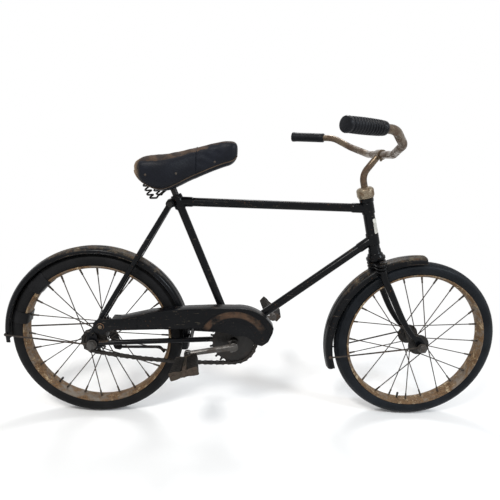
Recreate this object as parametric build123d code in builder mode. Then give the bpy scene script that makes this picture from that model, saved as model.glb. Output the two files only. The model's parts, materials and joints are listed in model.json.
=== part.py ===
from build123d import *
from math import acos, asin, atan2, cos, degrees, hypot, pi, radians, sin, tan
import os

os.makedirs("parts", exist_ok=True)

# A child's bicycle with a back-pedal hub, steel mudguards and a half chain case.
# X points forward, Y to the rider's left and Z up, and the origin is the rider's place on
# the saddle. Places are counted forward of the rear axle and up from the line through both
# axles, and the functions below bring them to the origin.

# wheels
TYRE_R = 182.0
TYRE_W = 37.0
TYRE_H = 26.0
TYRE_CROWN = 18.0
RIM_H = 7.0
RIM_BED_W = 18.0
SPOKES = 24
SPOKE_D = 2.4
SPOKE_CROSS = 2
LOST_SPOKES = (("front", 14),)
FLANGE_R = 23.0
FLANGE_T = 2.5
FLANGE_HOLE_R = 19.5
FRONT_FLANGE_Y = 29.0
REAR_FLANGE_Y = 26.0
FRONT_BARREL_R = 10.0
REAR_BARREL_R = 18.0
FRONT_HUB_HALF = 33.0
REAR_HUB_RIGHT = 29.0
REAR_HUB_LEFT = 34.0
AXLE_D = 9.5
AXLE_OUT = 25.0
NUT_R = 9.5
NUT_T = 8.0
BEARING_PLAY = 0.05
KNEE_PROUD = 0.1
WHEELBASE = 700.0

# frame
TUBE_D = 18.0
SEAT_TUBE_D = 17.0
HEAD_D = 24.0
HEAD_L = 114.0
HEAD_ANGLE = 75.0
HEAD_AHEAD = 56.2
TOP_TUBE_DROP = 17.0
DOWN_TUBE_RISE = 32.0
SEAT_ANGLE = 67.2
BRACKET_Z = 3.0
SHELL_D = 38.0
SHELL_HALF = 28.0
STAY_D = 11.0
PLATE_T = 4.0
DROPOUT_Y = 47.0
BRIDGE_D = 8.0
BRIDGE_TURN = 63.6

# chain and toothed wheels
PITCH = 12.7
RING_TEETH = 24
SPROCKET_TEETH = 12
CHAIN_LINKS = 64
CHAIN_SAG = 8.0
CHAIN_W = 7.4
CHAIN_SLOT = 3.4
ROLLER_D = 7.7
PLATE_H = 8.4
PLATE_WAIST = 5.6
TOOTH_W = 2.4
TOOTH_TIP = 2.8
GULLET_PLAY = 0.4

# cranks and pedals
CRANK_L = 96.0
CRANK_ANGLE = 190.4
CRANK_T = 8.0
CRANK_W = 13.0
CRANK_GAP = 1.4
SPINDLE_D = 13.0
PEDAL_PIN_D = 8.0
PEDAL_SETBACK = 21.0
PEDAL_W = 63.0
PEDAL_L = 56.0
PEDAL_TAPER = 12.0
PEDAL_T = 18.0
RIGHT_PEDAL_TILT = 16.0
LEFT_PEDAL_TILT = -38.0

# chain case
CASE_GAP = 1.5
CASE_T = 1.2
CASE_DEPTH = 26.0
CASE_MARGIN = 35.1
CASE_BULGE_MARGIN = 27.5
CASE_BULGE = 1.6

# mudguards
GUARD_GAP = 14.0
GUARD_SIDE_GAP = 2.5
GUARD_T = 1.2
GUARD_DROP = 9.0
WIRE_D = 4.0
EYE_T = 5.6
FRONT_GUARD_SET = (-5.0, -5.0, 4.0)

# fork, stem and handlebar
STEERER_D = 18.0
CROWN_GAP = 9.2
CROWN_R = 20.0
CROWN_PLATE_T = 4.0
CROWN_STEP = 7.0
CROWN_STACK = 34.0
BLADE_D = 15.5
BLADE_TIP_D = 10.0
BLADE_GAP = 2.25
STEM_D = 14.0
BAR_D = 15.0
BAR_RISE = 94.0
BAR_REACH = 43.7
GRIP_D = 22.0
GRIP_END_D = 25.5
GRIP_START = 0.24

# saddle, seat post and springs
SADDLE_UP = 93.0
SADDLE_BACK = 19.0
PAD_T = 9.0
POST_D = 13.0
SPRING_D = 14.0
SPRING_TURNS = 4
SPRING_STEP = 7.5
SPRING_WIRE = 4.0

# hub arm
ARM_REACH = 120.0
ARM_DROP = 62.0
ARM_D = 7.0

# sizes that follow from these
RIM_EDGE_R = TYRE_R - TYRE_H
RIM_BED_R = RIM_EDGE_R - RIM_H
RIM_EDGE_W = TYRE_W - 4
GUARD_R = TYRE_R + GUARD_GAP
GUARD_W = TYRE_W + 2 * GUARD_SIDE_GAP
FRONT_GUARD_X = WHEELBASE + FRONT_GUARD_SET[0]
FRONT_GUARD_Z = FRONT_GUARD_SET[1]
FRONT_GUARD_R = GUARD_R + FRONT_GUARD_SET[2]
STAY_Y = DROPOUT_Y + PLATE_T / 2
STAY_GUARD_Y = GUARD_W / 2 + STAY_D / 2 + 4.5
STAY_TOP_Y = SEAT_TUBE_D / 2 + 4.5
CHAIN_Y = -(STAY_Y - STAY_D / 2 - CHAIN_W / 2 - 2.8)
CASE_Y = -(STAY_Y + STAY_D / 2 + CASE_GAP)
CRANK_Y = -CASE_Y + CASE_BULGE + CRANK_GAP + CRANK_T / 2
PEDAL_IN = CRANK_Y + PEDAL_SETBACK
PEDAL_OUT = PEDAL_IN + PEDAL_W
BLADE_Y = GUARD_W / 2 + BLADE_D / 2 + BLADE_GAP
TIP_Y = FRONT_HUB_HALF + 5 + PLATE_T / 2
WIRE_Y = STAY_Y + PLATE_T / 2 + EYE_T / 2
FRONT_WIRE_Y = TIP_Y + PLATE_T / 2 + EYE_T / 2

# The chain's loop: the pitch circles of both toothed wheels, a straight upper run and a
# sagging lower run, which is an arc that both pitch circles touch from inside. The number
# of links sets the distance from the rear axle to the bottom bracket.
RING_R = RING_TEETH * PITCH / (2 * pi)
SPROCKET_R = SPROCKET_TEETH * PITCH / (2 * pi)
STEP_UP = RING_R - SPROCKET_R
lead = asin(STEP_UP / (CHAIN_LINKS * PITCH / 2 - pi * (RING_R + SPROCKET_R) / 2))
RUN = (CHAIN_LINKS * PITCH - pi * (RING_R + SPROCKET_R) - 2 * lead * STEP_UP) / 2
CENTRES = hypot(RUN, STEP_UP)
BRACKET_X = (CENTRES**2 - BRACKET_Z**2) ** 0.5
rise = atan2(BRACKET_Z, BRACKET_X)
top_turn = rise + pi / 2 + asin(STEP_UP / CENTRES)
SAG_R = CENTRES**2 / (8 * CHAIN_SAG)
to_ring = SAG_R - RING_R
to_sprocket = SAG_R - SPROCKET_R
low_ring = rise - acos((CENTRES**2 + to_ring**2 - to_sprocket**2) / (2 * CENTRES * to_ring))
SAG_X = BRACKET_X - to_ring * cos(low_ring)
SAG_Z = BRACKET_Z - to_ring * sin(low_ring)
low_sprocket = atan2(-SAG_Z, -SAG_X)
LOOP = (
    RING_R * ((top_turn - low_ring) % (2 * pi)),
    SAG_R * ((low_ring - low_sprocket) % (2 * pi)),
    SPROCKET_R * ((low_sprocket - top_turn) % (2 * pi)),
    RUN,
)
LINK = sum(LOOP) / CHAIN_LINKS


def chain_point(s):
    """Place of the chain at a distance s on from where it meets the ring on top."""
    if s < LOOP[0]:
        turn = top_turn - s / RING_R
        return BRACKET_X + RING_R * cos(turn), BRACKET_Z + RING_R * sin(turn)
    s -= LOOP[0]
    if s < LOOP[1]:
        turn = low_ring - s / SAG_R
        return SAG_X + SAG_R * cos(turn), SAG_Z + SAG_R * sin(turn)
    s -= LOOP[1]
    if s < LOOP[2]:
        turn = low_sprocket - s / SPROCKET_R
        return SPROCKET_R * cos(turn), SPROCKET_R * sin(turn)
    share = (s - LOOP[2]) / LOOP[3]
    x = SPROCKET_R * cos(top_turn)
    z = SPROCKET_R * sin(top_turn)
    end_x = BRACKET_X + RING_R * cos(top_turn)
    end_z = BRACKET_Z + RING_R * sin(top_turn)
    return x + share * (end_x - x), z + share * (end_z - z)


PINS = [chain_point(i * LINK) for i in range(CHAIN_LINKS)]
HEADINGS = [
    atan2(PINS[(i + 1) % CHAIN_LINKS][1] - PINS[i - 1][1], PINS[(i + 1) % CHAIN_LINKS][0] - PINS[i - 1][0])
    for i in range(CHAIN_LINKS)
]

# The steering axis leans back at the head angle. The crown sits on it just above the tyre,
# and the head tube, the top tube and the saddle follow from the crown upwards.
lean = 1 / tan(radians(HEAD_ANGLE))
crown_reach = TYRE_R + CROWN_GAP
b_term = HEAD_AHEAD * lean
CROWN_Z = (-b_term + (b_term**2 - (1 + lean**2) * (HEAD_AHEAD**2 - crown_reach**2)) ** 0.5) / (1 + lean**2)
HEAD_BOTTOM = CROWN_Z + CROWN_STACK
HEAD_TOP = HEAD_BOTTOM + HEAD_L
TOP_TUBE_Z = HEAD_TOP - TOP_TUBE_DROP
DOWN_TUBE_Z = HEAD_BOTTOM + DOWN_TUBE_RISE


def head_x(z):
    """Where the steering axis is at a height."""
    return WHEELBASE - HEAD_AHEAD - z * lean


def seat_tube_x(z):
    """Where the seat tube's middle is at a height."""
    return BRACKET_X - (z - BRACKET_Z) / tan(radians(SEAT_ANGLE))


SEAT_TUBE_X = seat_tube_x(TOP_TUBE_Z)
SEAT_X = SEAT_TUBE_X - SADDLE_BACK
SEAT_Z = TOP_TUBE_Z + SADDLE_UP
BAR_Z = HEAD_TOP + BAR_RISE
BAR_X = head_x(BAR_Z) + BAR_REACH
STAY_FOOT = (-4.0, 18.0)
STAY_BEND = ((GUARD_R + 26) * cos(radians(63.2)), (GUARD_R + 26) * sin(radians(63.2)))
STAY_TOP = (SEAT_TUBE_X - 15.4, TOP_TUBE_Z - 4)
CLAMP = (SEAT_TUBE_X - 14, TOP_TUBE_Z + 33)


def at(x, y, z):
    """A point forward of the rear axle, left of the middle and up from the axles' line."""
    return Vector(x - SEAT_X, y, z - SEAT_Z)


def steer(z):
    """The point of the steering axis at a height."""
    return at(head_x(z), 0, z)


def side(x=0.0, z=0.0, y=0.0, turn=0.0):
    """A plane that faces the right-hand side, with its first axis forward and its second up."""
    return Plane(origin=at(x, y, z), x_dir=(cos(radians(turn)), 0, sin(radians(turn))), z_dir=(0, -1, 0))


def radial(x, z, turn=0.0):
    """A plane through an axle: first axis to the left, second axis outwards at the turn given."""
    return Plane(origin=at(x, 0, z), x_dir=(0, 1, 0), z_dir=(sin(radians(turn)), 0, -cos(radians(turn))))


def axle_line(x, z):
    return Axis(at(x, 0, z), (0, 1, 0))


def rod(a, b, radius, end_radius=None, sides=0, mode=Mode.ADD):
    """A bar from a to b: round, tapered where it has two radii, or with flats."""
    run = b - a
    with BuildSketch(Plane(origin=a, z_dir=run)) as end:
        if sides:
            RegularPolygon(radius, sides)
        else:
            Circle(radius)
    taper = 0 if end_radius is None else degrees(atan2(radius - end_radius, run.length))
    extrude(end.sketch, amount=run.length, taper=taper, mode=mode)


def jointed_rod(points, radii):
    """A bar of straight runs, round or tapered, with a ball that closes each knee."""
    runs = [(b - a).normalized() for a, b in zip(points, points[1:])]
    for i in range(len(runs)):
        rod(points[i], points[i + 1], radii[i], None if radii[i] == radii[i + 1] else radii[i + 1])
        if i:
            knee = runs[i].get_angle(runs[i - 1])
            with Locations(points[i]):
                Sphere(radii[i] / cos(radians(knee / 2)) + KNEE_PROUD)


def bent_rod(points, bend, radius):
    """A round bar along straight runs that are joined by arcs."""
    with BuildLine() as path:
        FilletPolyline(*points, radius=bend)
    with BuildSketch(Plane(origin=path.line @ 0, z_dir=path.line % 0)) as end:
        Circle(radius)
    sweep(end.sketch, path=path.line)


def disc(x, z, radius, y_from, y_to, sides=0, mode=Mode.ADD):
    """A disc, pin or nut across the bicycle, from one offset to another."""
    with BuildSketch(side(x, z, max(y_from, y_to))) as face:
        if sides:
            RegularPolygon(radius, sides)
        else:
            Circle(radius)
    extrude(face.sketch, amount=abs(y_to - y_from), mode=mode)


def turned(x, z, profile):
    """A body of revolution about an axle from a table of offset and radius."""
    with BuildSketch(radial(x, z, 90)) as half:
        with BuildLine():
            Polyline(*profile, close=True)
        make_face()
    revolve(half.sketch, axis=axle_line(x, z))


def finish(body, name):
    body.part.label = name
    export_step(body.part, f"parts/{name}.step")


# tyres and rims, both wheels alike
WHEELS = (
    # name, hub forward of the rear axle
    ("rear", 0.0),
    ("front", WHEELBASE),
)
for name, hub_x in WHEELS:
    wall = TYRE_W / 2
    shoulder = RIM_EDGE_R + TYRE_H * 0.66
    with BuildPart() as tyre:
        turned(
            hub_x,
            0,
            (
                (-wall + 1, RIM_EDGE_R),
                (-wall + 1, shoulder),
                (-TYRE_CROWN / 2, TYRE_R),
                (TYRE_CROWN / 2, TYRE_R),
                (wall - 1, shoulder),
                (wall - 1, RIM_EDGE_R),
            ),
        )
    finish(tyre, f"{name}_tyre")

    edge = RIM_EDGE_W / 2
    with BuildPart() as rim:
        turned(
            hub_x,
            0,
            (
                (-RIM_BED_W / 2, RIM_BED_R),
                (-edge, RIM_EDGE_R - RIM_H * 0.6),
                (-edge, RIM_EDGE_R),
                (edge, RIM_EDGE_R),
                (edge, RIM_EDGE_R - RIM_H * 0.6),
                (RIM_BED_W / 2, RIM_BED_R),
            ),
        )
    finish(rim, f"{name}_rim")

# hubs and spokes: the rear hub is the fat shell of a back-pedal hub
HUBS = (
    # name, hub x, flange offset, barrel radius, right end, left end
    ("rear", 0.0, REAR_FLANGE_Y, REAR_BARREL_R, REAR_HUB_RIGHT, REAR_HUB_LEFT),
    ("front", WHEELBASE, FRONT_FLANGE_Y, FRONT_BARREL_R, FRONT_HUB_HALF, FRONT_HUB_HALF),
)
for name, hub_x, out, barrel, right_end, left_end in HUBS:
    half_t = FLANGE_T / 2
    with BuildPart() as hub:
        turned(
            hub_x,
            0,
            (
                (-right_end, AXLE_D / 2 + BEARING_PLAY),
                (-right_end, AXLE_D / 2 + 4),
                (-out - half_t, AXLE_D / 2 + 4),
                (-out - half_t, FLANGE_R),
                (-out + half_t, FLANGE_R),
                (-out + half_t, barrel),
                (out - half_t, barrel),
                (out - half_t, FLANGE_R),
                (out + half_t, FLANGE_R),
                (out + half_t, AXLE_D / 2 + 4),
                (left_end, AXLE_D / 2 + 4),
                (left_end, AXLE_D / 2 + BEARING_PLAY),
            ),
        )
    finish(hub, f"{name}_hub")

    with BuildPart() as spokes:
        for k in [k for k in range(SPOKES) if (name, k) not in LOST_SPOKES]:
            left = 1 if k % 2 else -1
            outside = 1 if k % 4 < 2 else -1
            rim_turn = radians(360 / SPOKES * k)
            hub_turn = rim_turn + outside * radians(SPOKE_CROSS * 720 / SPOKES)
            foot = at(
                hub_x + FLANGE_HOLE_R * cos(hub_turn),
                left * (out + (FLANGE_T + SPOKE_D) / 2 * outside),
                FLANGE_HOLE_R * sin(hub_turn),
            )
            reach = RIM_BED_R - 0.35
            tip = at(hub_x + reach * cos(rim_turn), left * 3, reach * sin(rim_turn))
            rod(foot, tip, SPOKE_D / 2, sides=6)
        add(hub.part, mode=Mode.SUBTRACT)
    finish(spokes, f"{name}_spokes")

# head tube, with the fixed cups of the steering bearings on it
with BuildPart() as head_tube:
    rod(steer(HEAD_BOTTOM), steer(HEAD_TOP), HEAD_D / 2)
    rod(steer(HEAD_TOP), steer(HEAD_TOP + 4), HEAD_D / 2 + 3)
    rod(steer(HEAD_BOTTOM), steer(HEAD_BOTTOM - 7), HEAD_D / 2 + 4, HEAD_D / 2 + 8.5)
    rod(steer(HEAD_BOTTOM - 7), steer(HEAD_BOTTOM - 12), HEAD_D / 2 + 8.5)
    rod(steer(HEAD_BOTTOM - 13), steer(HEAD_TOP + 5), STEERER_D / 2 + BEARING_PLAY, mode=Mode.SUBTRACT)
finish(head_tube, "head_tube")

# seat tube with the bracket shell at its foot and the lug at its top
cluster = at(SEAT_TUBE_X, 0, TOP_TUBE_Z)
crank_centre = at(BRACKET_X, 0, BRACKET_Z)
along = (cluster - crank_centre).normalized()
ear_half = STAY_TOP_Y - STAY_D / 2 - 0.5
with BuildPart() as seat_tube:
    rod(crank_centre, cluster + along * 14, SEAT_TUBE_D / 2)
    rod(cluster - along * 12, cluster + along * 12, SEAT_TUBE_D / 2 + 3)
    with BuildSketch(side(y=ear_half)):
        with BuildLine():
            Polyline(
                (SEAT_TUBE_X - 4, TOP_TUBE_Z + 10),
                (STAY_TOP[0] - 8, STAY_TOP[1] + 6),
                (STAY_TOP[0] - 6, STAY_TOP[1] - 8),
                (SEAT_TUBE_X + 2, TOP_TUBE_Z - 10),
                close=True,
            )
        make_face()
    extrude(amount=2 * ear_half)
    disc(BRACKET_X, BRACKET_Z, SHELL_D / 2, -SHELL_HALF, SHELL_HALF)
    disc(BRACKET_X, BRACKET_Z, SPINDLE_D / 2 + BEARING_PLAY, -SHELL_HALF - 1, SHELL_HALF + 1, mode=Mode.SUBTRACT)
    rod(cluster - along * 40, cluster + along * 15, POST_D / 2, mode=Mode.SUBTRACT)
finish(seat_tube, "seat_tube")

with BuildPart() as top_tube:
    rod(cluster, at(head_x(TOP_TUBE_Z), 0, TOP_TUBE_Z), TUBE_D / 2)
    add(seat_tube.part, mode=Mode.SUBTRACT)
    rod(cluster - along * 40, cluster + along * 40, SEAT_TUBE_D / 2, mode=Mode.SUBTRACT)
    rod(steer(HEAD_BOTTOM), steer(HEAD_TOP), HEAD_D / 2, mode=Mode.SUBTRACT)
finish(top_tube, "top_tube")

with BuildPart() as down_tube:
    rod(crank_centre, steer(DOWN_TUBE_Z), TUBE_D / 2)
    rod(crank_centre, cluster, SEAT_TUBE_D / 2, mode=Mode.SUBTRACT)
    disc(BRACKET_X, BRACKET_Z, SHELL_D / 2, -SHELL_HALF, SHELL_HALF, mode=Mode.SUBTRACT)
    rod(steer(HEAD_BOTTOM), steer(HEAD_TOP), HEAD_D / 2, mode=Mode.SUBTRACT)
finish(down_tube, "down_tube")


def guard_rest(turn):
    """Centre of a cross rod that just touches the rear mudguard from outside."""
    reach = GUARD_R + BRIDGE_D / 2 + 0.1
    return reach * cos(radians(turn)), reach * sin(radians(turn))


# rear triangle: stays with their bridges and the plates that hold the axle
with BuildPart() as seat_stays:
    for left in (-1, 1):
        bent_rod(
            (
                at(STAY_FOOT[0], left * STAY_Y, STAY_FOOT[1]),
                at(STAY_BEND[0], left * STAY_GUARD_Y, STAY_BEND[1]),
                at(STAY_TOP[0], left * STAY_TOP_Y, STAY_TOP[1]),
            ),
            120,
            STAY_D / 2,
        )
        eye = (left * (STAY_TOP_Y - STAY_D / 2), left * (STAY_TOP_Y + STAY_D / 2))
        disc(*STAY_TOP, STAY_D / 2 + 3, *eye)
    disc(*guard_rest(BRIDGE_TURN), BRIDGE_D / 2, -STAY_GUARD_Y - 1, STAY_GUARD_Y + 1)
    add(seat_tube.part, mode=Mode.SUBTRACT)
finish(seat_stays, "seat_stays")

with BuildPart() as chain_stays:
    for left in (-1, 1):
        inner_y = SHELL_HALF - STAY_D / 2 - 2
        rod(at(NUT_R + 2.5, left * STAY_Y, 0), at(BRACKET_X, left * inner_y, BRACKET_Z), STAY_D / 2)
    disc(*guard_rest(0.5), BRIDGE_D / 2, -STAY_GUARD_Y, STAY_GUARD_Y)
    disc(BRACKET_X, BRACKET_Z, SHELL_D / 2, -SHELL_HALF, SHELL_HALF, mode=Mode.SUBTRACT)
finish(chain_stays, "chain_stays")

with BuildPart() as axle_plates:
    for left in (-1, 1):
        with BuildSketch(side(y=left * STAY_Y + PLATE_T / 2)):
            with BuildLine():
                Polyline(
                    (-12, -9),
                    (-12, 6),
                    (STAY_FOOT[0] - 8, STAY_FOOT[1] + 6),
                    (STAY_FOOT[0] + 9, STAY_FOOT[1] + 8),
                    (9, 7),
                    (26, 5),
                    (26, -5),
                    (9, -12),
                    close=True,
                )
            make_face()
        extrude(amount=PLATE_T)
    add(seat_stays.part, mode=Mode.SUBTRACT)
    add(chain_stays.part, mode=Mode.SUBTRACT)
    disc(0, 0, AXLE_D / 2, -STAY_Y - PLATE_T, STAY_Y + PLATE_T, mode=Mode.SUBTRACT)
finish(axle_plates, "axle_plates")

# fixed axles with their cones and nuts
REAR_NUT_Y = WIRE_Y + EYE_T / 2
FRONT_NUT_Y = FRONT_WIRE_Y + EYE_T / 2
ARM_Y = REAR_NUT_Y + NUT_T + 3
CONE_R = AXLE_D / 2 + 3.5
AXLES = (
    # name, hub x, right end, left end, then cones and nuts: radius, sides, inner and outer offset
    (
        "rear_axle",
        0.0,
        REAR_NUT_Y + NUT_T + 13,
        ARM_Y + NUT_T,
        (
            (CONE_R, 0, -REAR_HUB_RIGHT - 0.3, -DROPOUT_Y),
            (CONE_R, 0, REAR_HUB_LEFT + 0.3, DROPOUT_Y),
            (NUT_R, 6, -REAR_NUT_Y, -REAR_NUT_Y - NUT_T),
            (NUT_R, 6, REAR_NUT_Y, REAR_NUT_Y + NUT_T),
            (NUT_R, 6, ARM_Y, ARM_Y + NUT_T - 2),
        ),
    ),
    (
        "front_axle",
        WHEELBASE,
        FRONT_NUT_Y + NUT_T + 2,
        FRONT_NUT_Y + NUT_T + 2,
        (
            (CONE_R, 0, -FRONT_HUB_HALF - 0.3, -TIP_Y + PLATE_T / 2),
            (CONE_R, 0, FRONT_HUB_HALF + 0.3, TIP_Y - PLATE_T / 2),
            (NUT_R, 6, -FRONT_NUT_Y, -FRONT_NUT_Y - NUT_T),
            (NUT_R, 6, FRONT_NUT_Y, FRONT_NUT_Y + NUT_T),
        ),
    ),
)
for name, hub_x, right_end, left_end, nuts in AXLES:
    with BuildPart() as axle:
        disc(hub_x, 0, AXLE_D / 2, -right_end, left_end)
        for radius, sides, inner, outer in nuts:
            disc(hub_x, 0, radius, inner, outer, sides=sides)
    finish(axle, name)

# toothed wheels: discs with a hollow for each roller, placed where the chain's rollers are
TOOTHED = (
    # name, centre x, centre z, pitch radius, teeth, first hollow in degrees
    ("chainring", BRACKET_X, BRACKET_Z, RING_R, RING_TEETH, degrees(top_turn)),
    (
        "rear_sprocket",
        0.0,
        0.0,
        SPROCKET_R,
        SPROCKET_TEETH,
        degrees(low_sprocket + ((LOOP[0] + LOOP[1]) % LINK - LINK) / SPROCKET_R),
    ),
)
hollow = ROLLER_D / 2 + GULLET_PLAY
for name, x, z, pitch_r, teeth, first in TOOTHED:
    with BuildPart() as toothed:
        with BuildSketch(side(x, z, CHAIN_Y + TOOTH_W / 2)):
            Circle(pitch_r + TOOTH_TIP)
            with PolarLocations(pitch_r, teeth, start_angle=first):
                Polygon(
                    (-hollow, -hollow * 0.45),
                    (-hollow, hollow * 0.45),
                    (-hollow * 0.45, hollow),
                    (0, hollow),
                    (6, hollow + 1.6),
                    (6, -hollow - 1.6),
                    (0, -hollow),
                    (-hollow * 0.45, -hollow),
                    align=None,
                    mode=Mode.SUBTRACT,
                )
            if name == "chainring":
                Circle(SPINDLE_D / 2, mode=Mode.SUBTRACT)
            else:
                Circle(CONE_R, mode=Mode.SUBTRACT)
        extrude(amount=TOOTH_W)
        if name == "chainring":
            turned(
                x,
                z,
                (
                    (CHAIN_Y - 15, SPINDLE_D / 2),
                    (CHAIN_Y - 15, SPINDLE_D / 2 + 4),
                    (CHAIN_Y - TOOTH_W / 2, SPINDLE_D / 2 + 4),
                    (CHAIN_Y - TOOTH_W / 2, SPINDLE_D / 2),
                ),
            )
        else:
            turned(
                x,
                z,
                (
                    (CHAIN_Y + TOOTH_W / 2, CONE_R),
                    (CHAIN_Y + TOOTH_W / 2, CONE_R + 6),
                    (-REAR_HUB_RIGHT - 1.2, CONE_R + 6),
                    (-REAR_HUB_RIGHT - 1.2, CONE_R),
                ),
            )
    finish(toothed, name)


# the chain: a plate strip on each side, waisted where it hangs free, and the rollers between
def chain_edge(away):
    """One edge of the plates: full height at each pin, with waists on the sagging lower run."""
    edge = []
    for i, ((x, z), turn) in enumerate(zip(PINS, HEADINGS)):
        lower_run = LOOP[0] < i * LINK < LOOP[0] + LOOP[1] - LINK
        upper_run = i * LINK > sum(LOOP[:3]) + LINK
        if not upper_run:
            edge.append((x - away * PLATE_H / 2 * sin(turn), z + away * PLATE_H / 2 * cos(turn)))
        if lower_run and i % 2 == 0:
            next_x, next_z = PINS[(i + 1) % CHAIN_LINKS]
            turn = atan2(next_z - z, next_x - x)
            x = (x + next_x) / 2 - away * PLATE_WAIST / 2 * sin(turn)
            z = (z + next_z) / 2 + away * PLATE_WAIST / 2 * cos(turn)
            edge.append((x, z))
    return edge


with BuildPart() as chain:
    with BuildSketch(side(y=CHAIN_Y + CHAIN_W / 2)) as strip:
        with BuildLine():
            Polyline(*chain_edge(1), close=True)
        make_face()
        with BuildLine():
            Polyline(*chain_edge(-1), close=True)
        make_face(mode=Mode.SUBTRACT)
    extrude(amount=(CHAIN_W - CHAIN_SLOT) / 2)
    far_strip = strip.sketch.moved(Location((0, -(CHAIN_W + CHAIN_SLOT) / 2, 0)))
    extrude(far_strip, amount=(CHAIN_W - CHAIN_SLOT) / 2)
    with BuildSketch(side(y=CHAIN_Y + CHAIN_SLOT / 2)):
        for (x, z), turn in zip(PINS, HEADINGS):
            with Locations(Location((x, z, 0), (0, 0, degrees(turn) + 45))):
                RegularPolygon(ROLLER_D / 2, 4)
    extrude(amount=CHAIN_SLOT)
finish(chain, "chain")

# cranks: the right one is pressed on the spindle, which the left one carries
pedal_turn = radians(CRANK_ANGLE)
CRANKS = (
    # name, side, direction of the arm, inner end of the boss
    ("right_crank", -1, 1, -CHAIN_Y + 15),
    ("left_crank", 1, -1, CRANK_Y - CRANK_T / 2 - 8),
)
for name, left, way, boss in CRANKS:
    end = (CRANK_L * way * cos(pedal_turn), CRANK_L * way * sin(pedal_turn))
    turn = degrees(atan2(end[1], end[0]))
    with BuildPart() as crank:
        with BuildSketch(side(BRACKET_X, BRACKET_Z, left * CRANK_Y + CRANK_T / 2, turn)):
            with BuildLine():
                Polyline(
                    (0, -CRANK_W / 2),
                    (0, CRANK_W / 2),
                    (CRANK_L, CRANK_W / 2 - 2),
                    (CRANK_L, -CRANK_W / 2 + 2),
                    close=True,
                )
            make_face()
            Circle(CRANK_W / 2 + 3)
            with Locations((CRANK_L, 0)):
                Circle(CRANK_W / 2 + 1.5)
        extrude(amount=CRANK_T)
        disc(BRACKET_X, BRACKET_Z, CRANK_W / 2 + 3, left * CRANK_Y, left * boss)
        if name == "left_crank":
            disc(BRACKET_X, BRACKET_Z, SPINDLE_D / 2, CHAIN_Y - 15, CRANK_Y)
        hole = (BRACKET_X + end[0], BRACKET_Z + end[1])
        disc(*hole, PEDAL_PIN_D / 2, left * (CRANK_Y - 5), left * (CRANK_Y + 5), mode=Mode.SUBTRACT)
    finish(crank, name)

# pedals: end plates and a centre tube, with two rubber treads between the plates
PEDALS = (
    # name, side, direction of the crank, tilt of the tread
    ("right", -1, 1, RIGHT_PEDAL_TILT),
    ("left", 1, -1, LEFT_PEDAL_TILT),
)
END_PLATE_T = 2.5
for name, left, way, tilt in PEDALS:
    px = BRACKET_X + CRANK_L * way * cos(pedal_turn)
    pz = BRACKET_Z + CRANK_L * way * sin(pedal_turn)
    pin_r = PEDAL_PIN_D / 2
    with BuildPart() as pedal_pin:
        disc(px, pz, pin_r, left * (CRANK_Y - CRANK_T / 2 - 1), left * (PEDAL_OUT - 6))
        disc(px, pz, pin_r + 3, left * (CRANK_Y + CRANK_T / 2), left * (PEDAL_IN - 6))
    finish(pedal_pin, f"{name}_pedal_spindle")

    ends = (
        # offset of the plate's right face from the middle, length of the plate
        (PEDAL_IN, PEDAL_L - PEDAL_TAPER),
        (PEDAL_OUT - END_PLATE_T, PEDAL_L),
    )
    with BuildPart() as cage:
        for y, long in ends:
            with BuildSketch(side(px, pz, max(left * y, left * (y + END_PLATE_T)), tilt)):
                with BuildLine():
                    Polyline(
                        (-long / 2, -PEDAL_T / 2 + 2),
                        (-long / 2, PEDAL_T / 2 - 2),
                        (-7, pin_r + 2),
                        (7, pin_r + 2),
                        (long / 2, PEDAL_T / 2 - 2),
                        (long / 2, -PEDAL_T / 2 + 2),
                        (7, -pin_r - 2),
                        (-7, -pin_r - 2),
                        close=True,
                    )
                make_face()
            extrude(amount=END_PLATE_T)
        disc(px, pz, pin_r + 2.5, left * PEDAL_IN, left * (PEDAL_OUT + 1))
        disc(px, pz, pin_r + 1, left * PEDAL_OUT, left * (PEDAL_OUT + 4), sides=6)
        disc(px, pz, pin_r + BEARING_PLAY, left * (PEDAL_IN - 1), left * (PEDAL_OUT - 5.5), mode=Mode.SUBTRACT)
    finish(cage, f"{name}_pedal_cage")

    with BuildPart() as treads:
        for front in (-1, 1):
            faces = []
            for y, long in ((PEDAL_IN + END_PLATE_T, PEDAL_L - PEDAL_TAPER), (PEDAL_OUT - END_PLATE_T, PEDAL_L)):
                with BuildSketch(side(px, pz, left * y, tilt)) as end_face:
                    with Locations((front * (long / 2 - 7), 0)):
                        Rectangle(13, PEDAL_T)
                faces.append(end_face.sketch)
            loft(faces)
    finish(treads, f"{name}_pedal_treads")

# half chain case: an outer plate with a top flange, raised over the chainring
NOSE = (BRACKET_X + 10, BRACKET_Z - 2, RING_R + CASE_MARGIN)
NOSE_START = 96.0
NOSE_END = 30.3
CASE_TOP = (
    # share of the way from the axle to the bracket, height above the chain's upper run
    (0.082, 29.5),
    (0.2, 26.5),
    (0.3, 30.7),
    (0.41, 36.0),
    (0.55, 38.0),
    (0.69, 38.0),
    (0.865, 36.0),
)
CASE_LOW = (
    # share of the way from the axle to the bracket, height, from the front to the rear end
    (1.273, 30.0),
    (1.247, 12.0),
    (1.205, 3.0),
    (1.161, 6.0),
    (1.116, 19.0),
    (1.085, 24.0),
    (0.99, 25.0),
    (0.952, 31.0),
    (0.718, 39.0),
    (0.127, 31.0),
    (0.082, 22.0),
)
CASE_END_X = 3.0
CASE_BOLT = (18.0, 39.0)
CASE_STRUT_Z = BRACKET_Z + RING_R + 16.5


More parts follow.
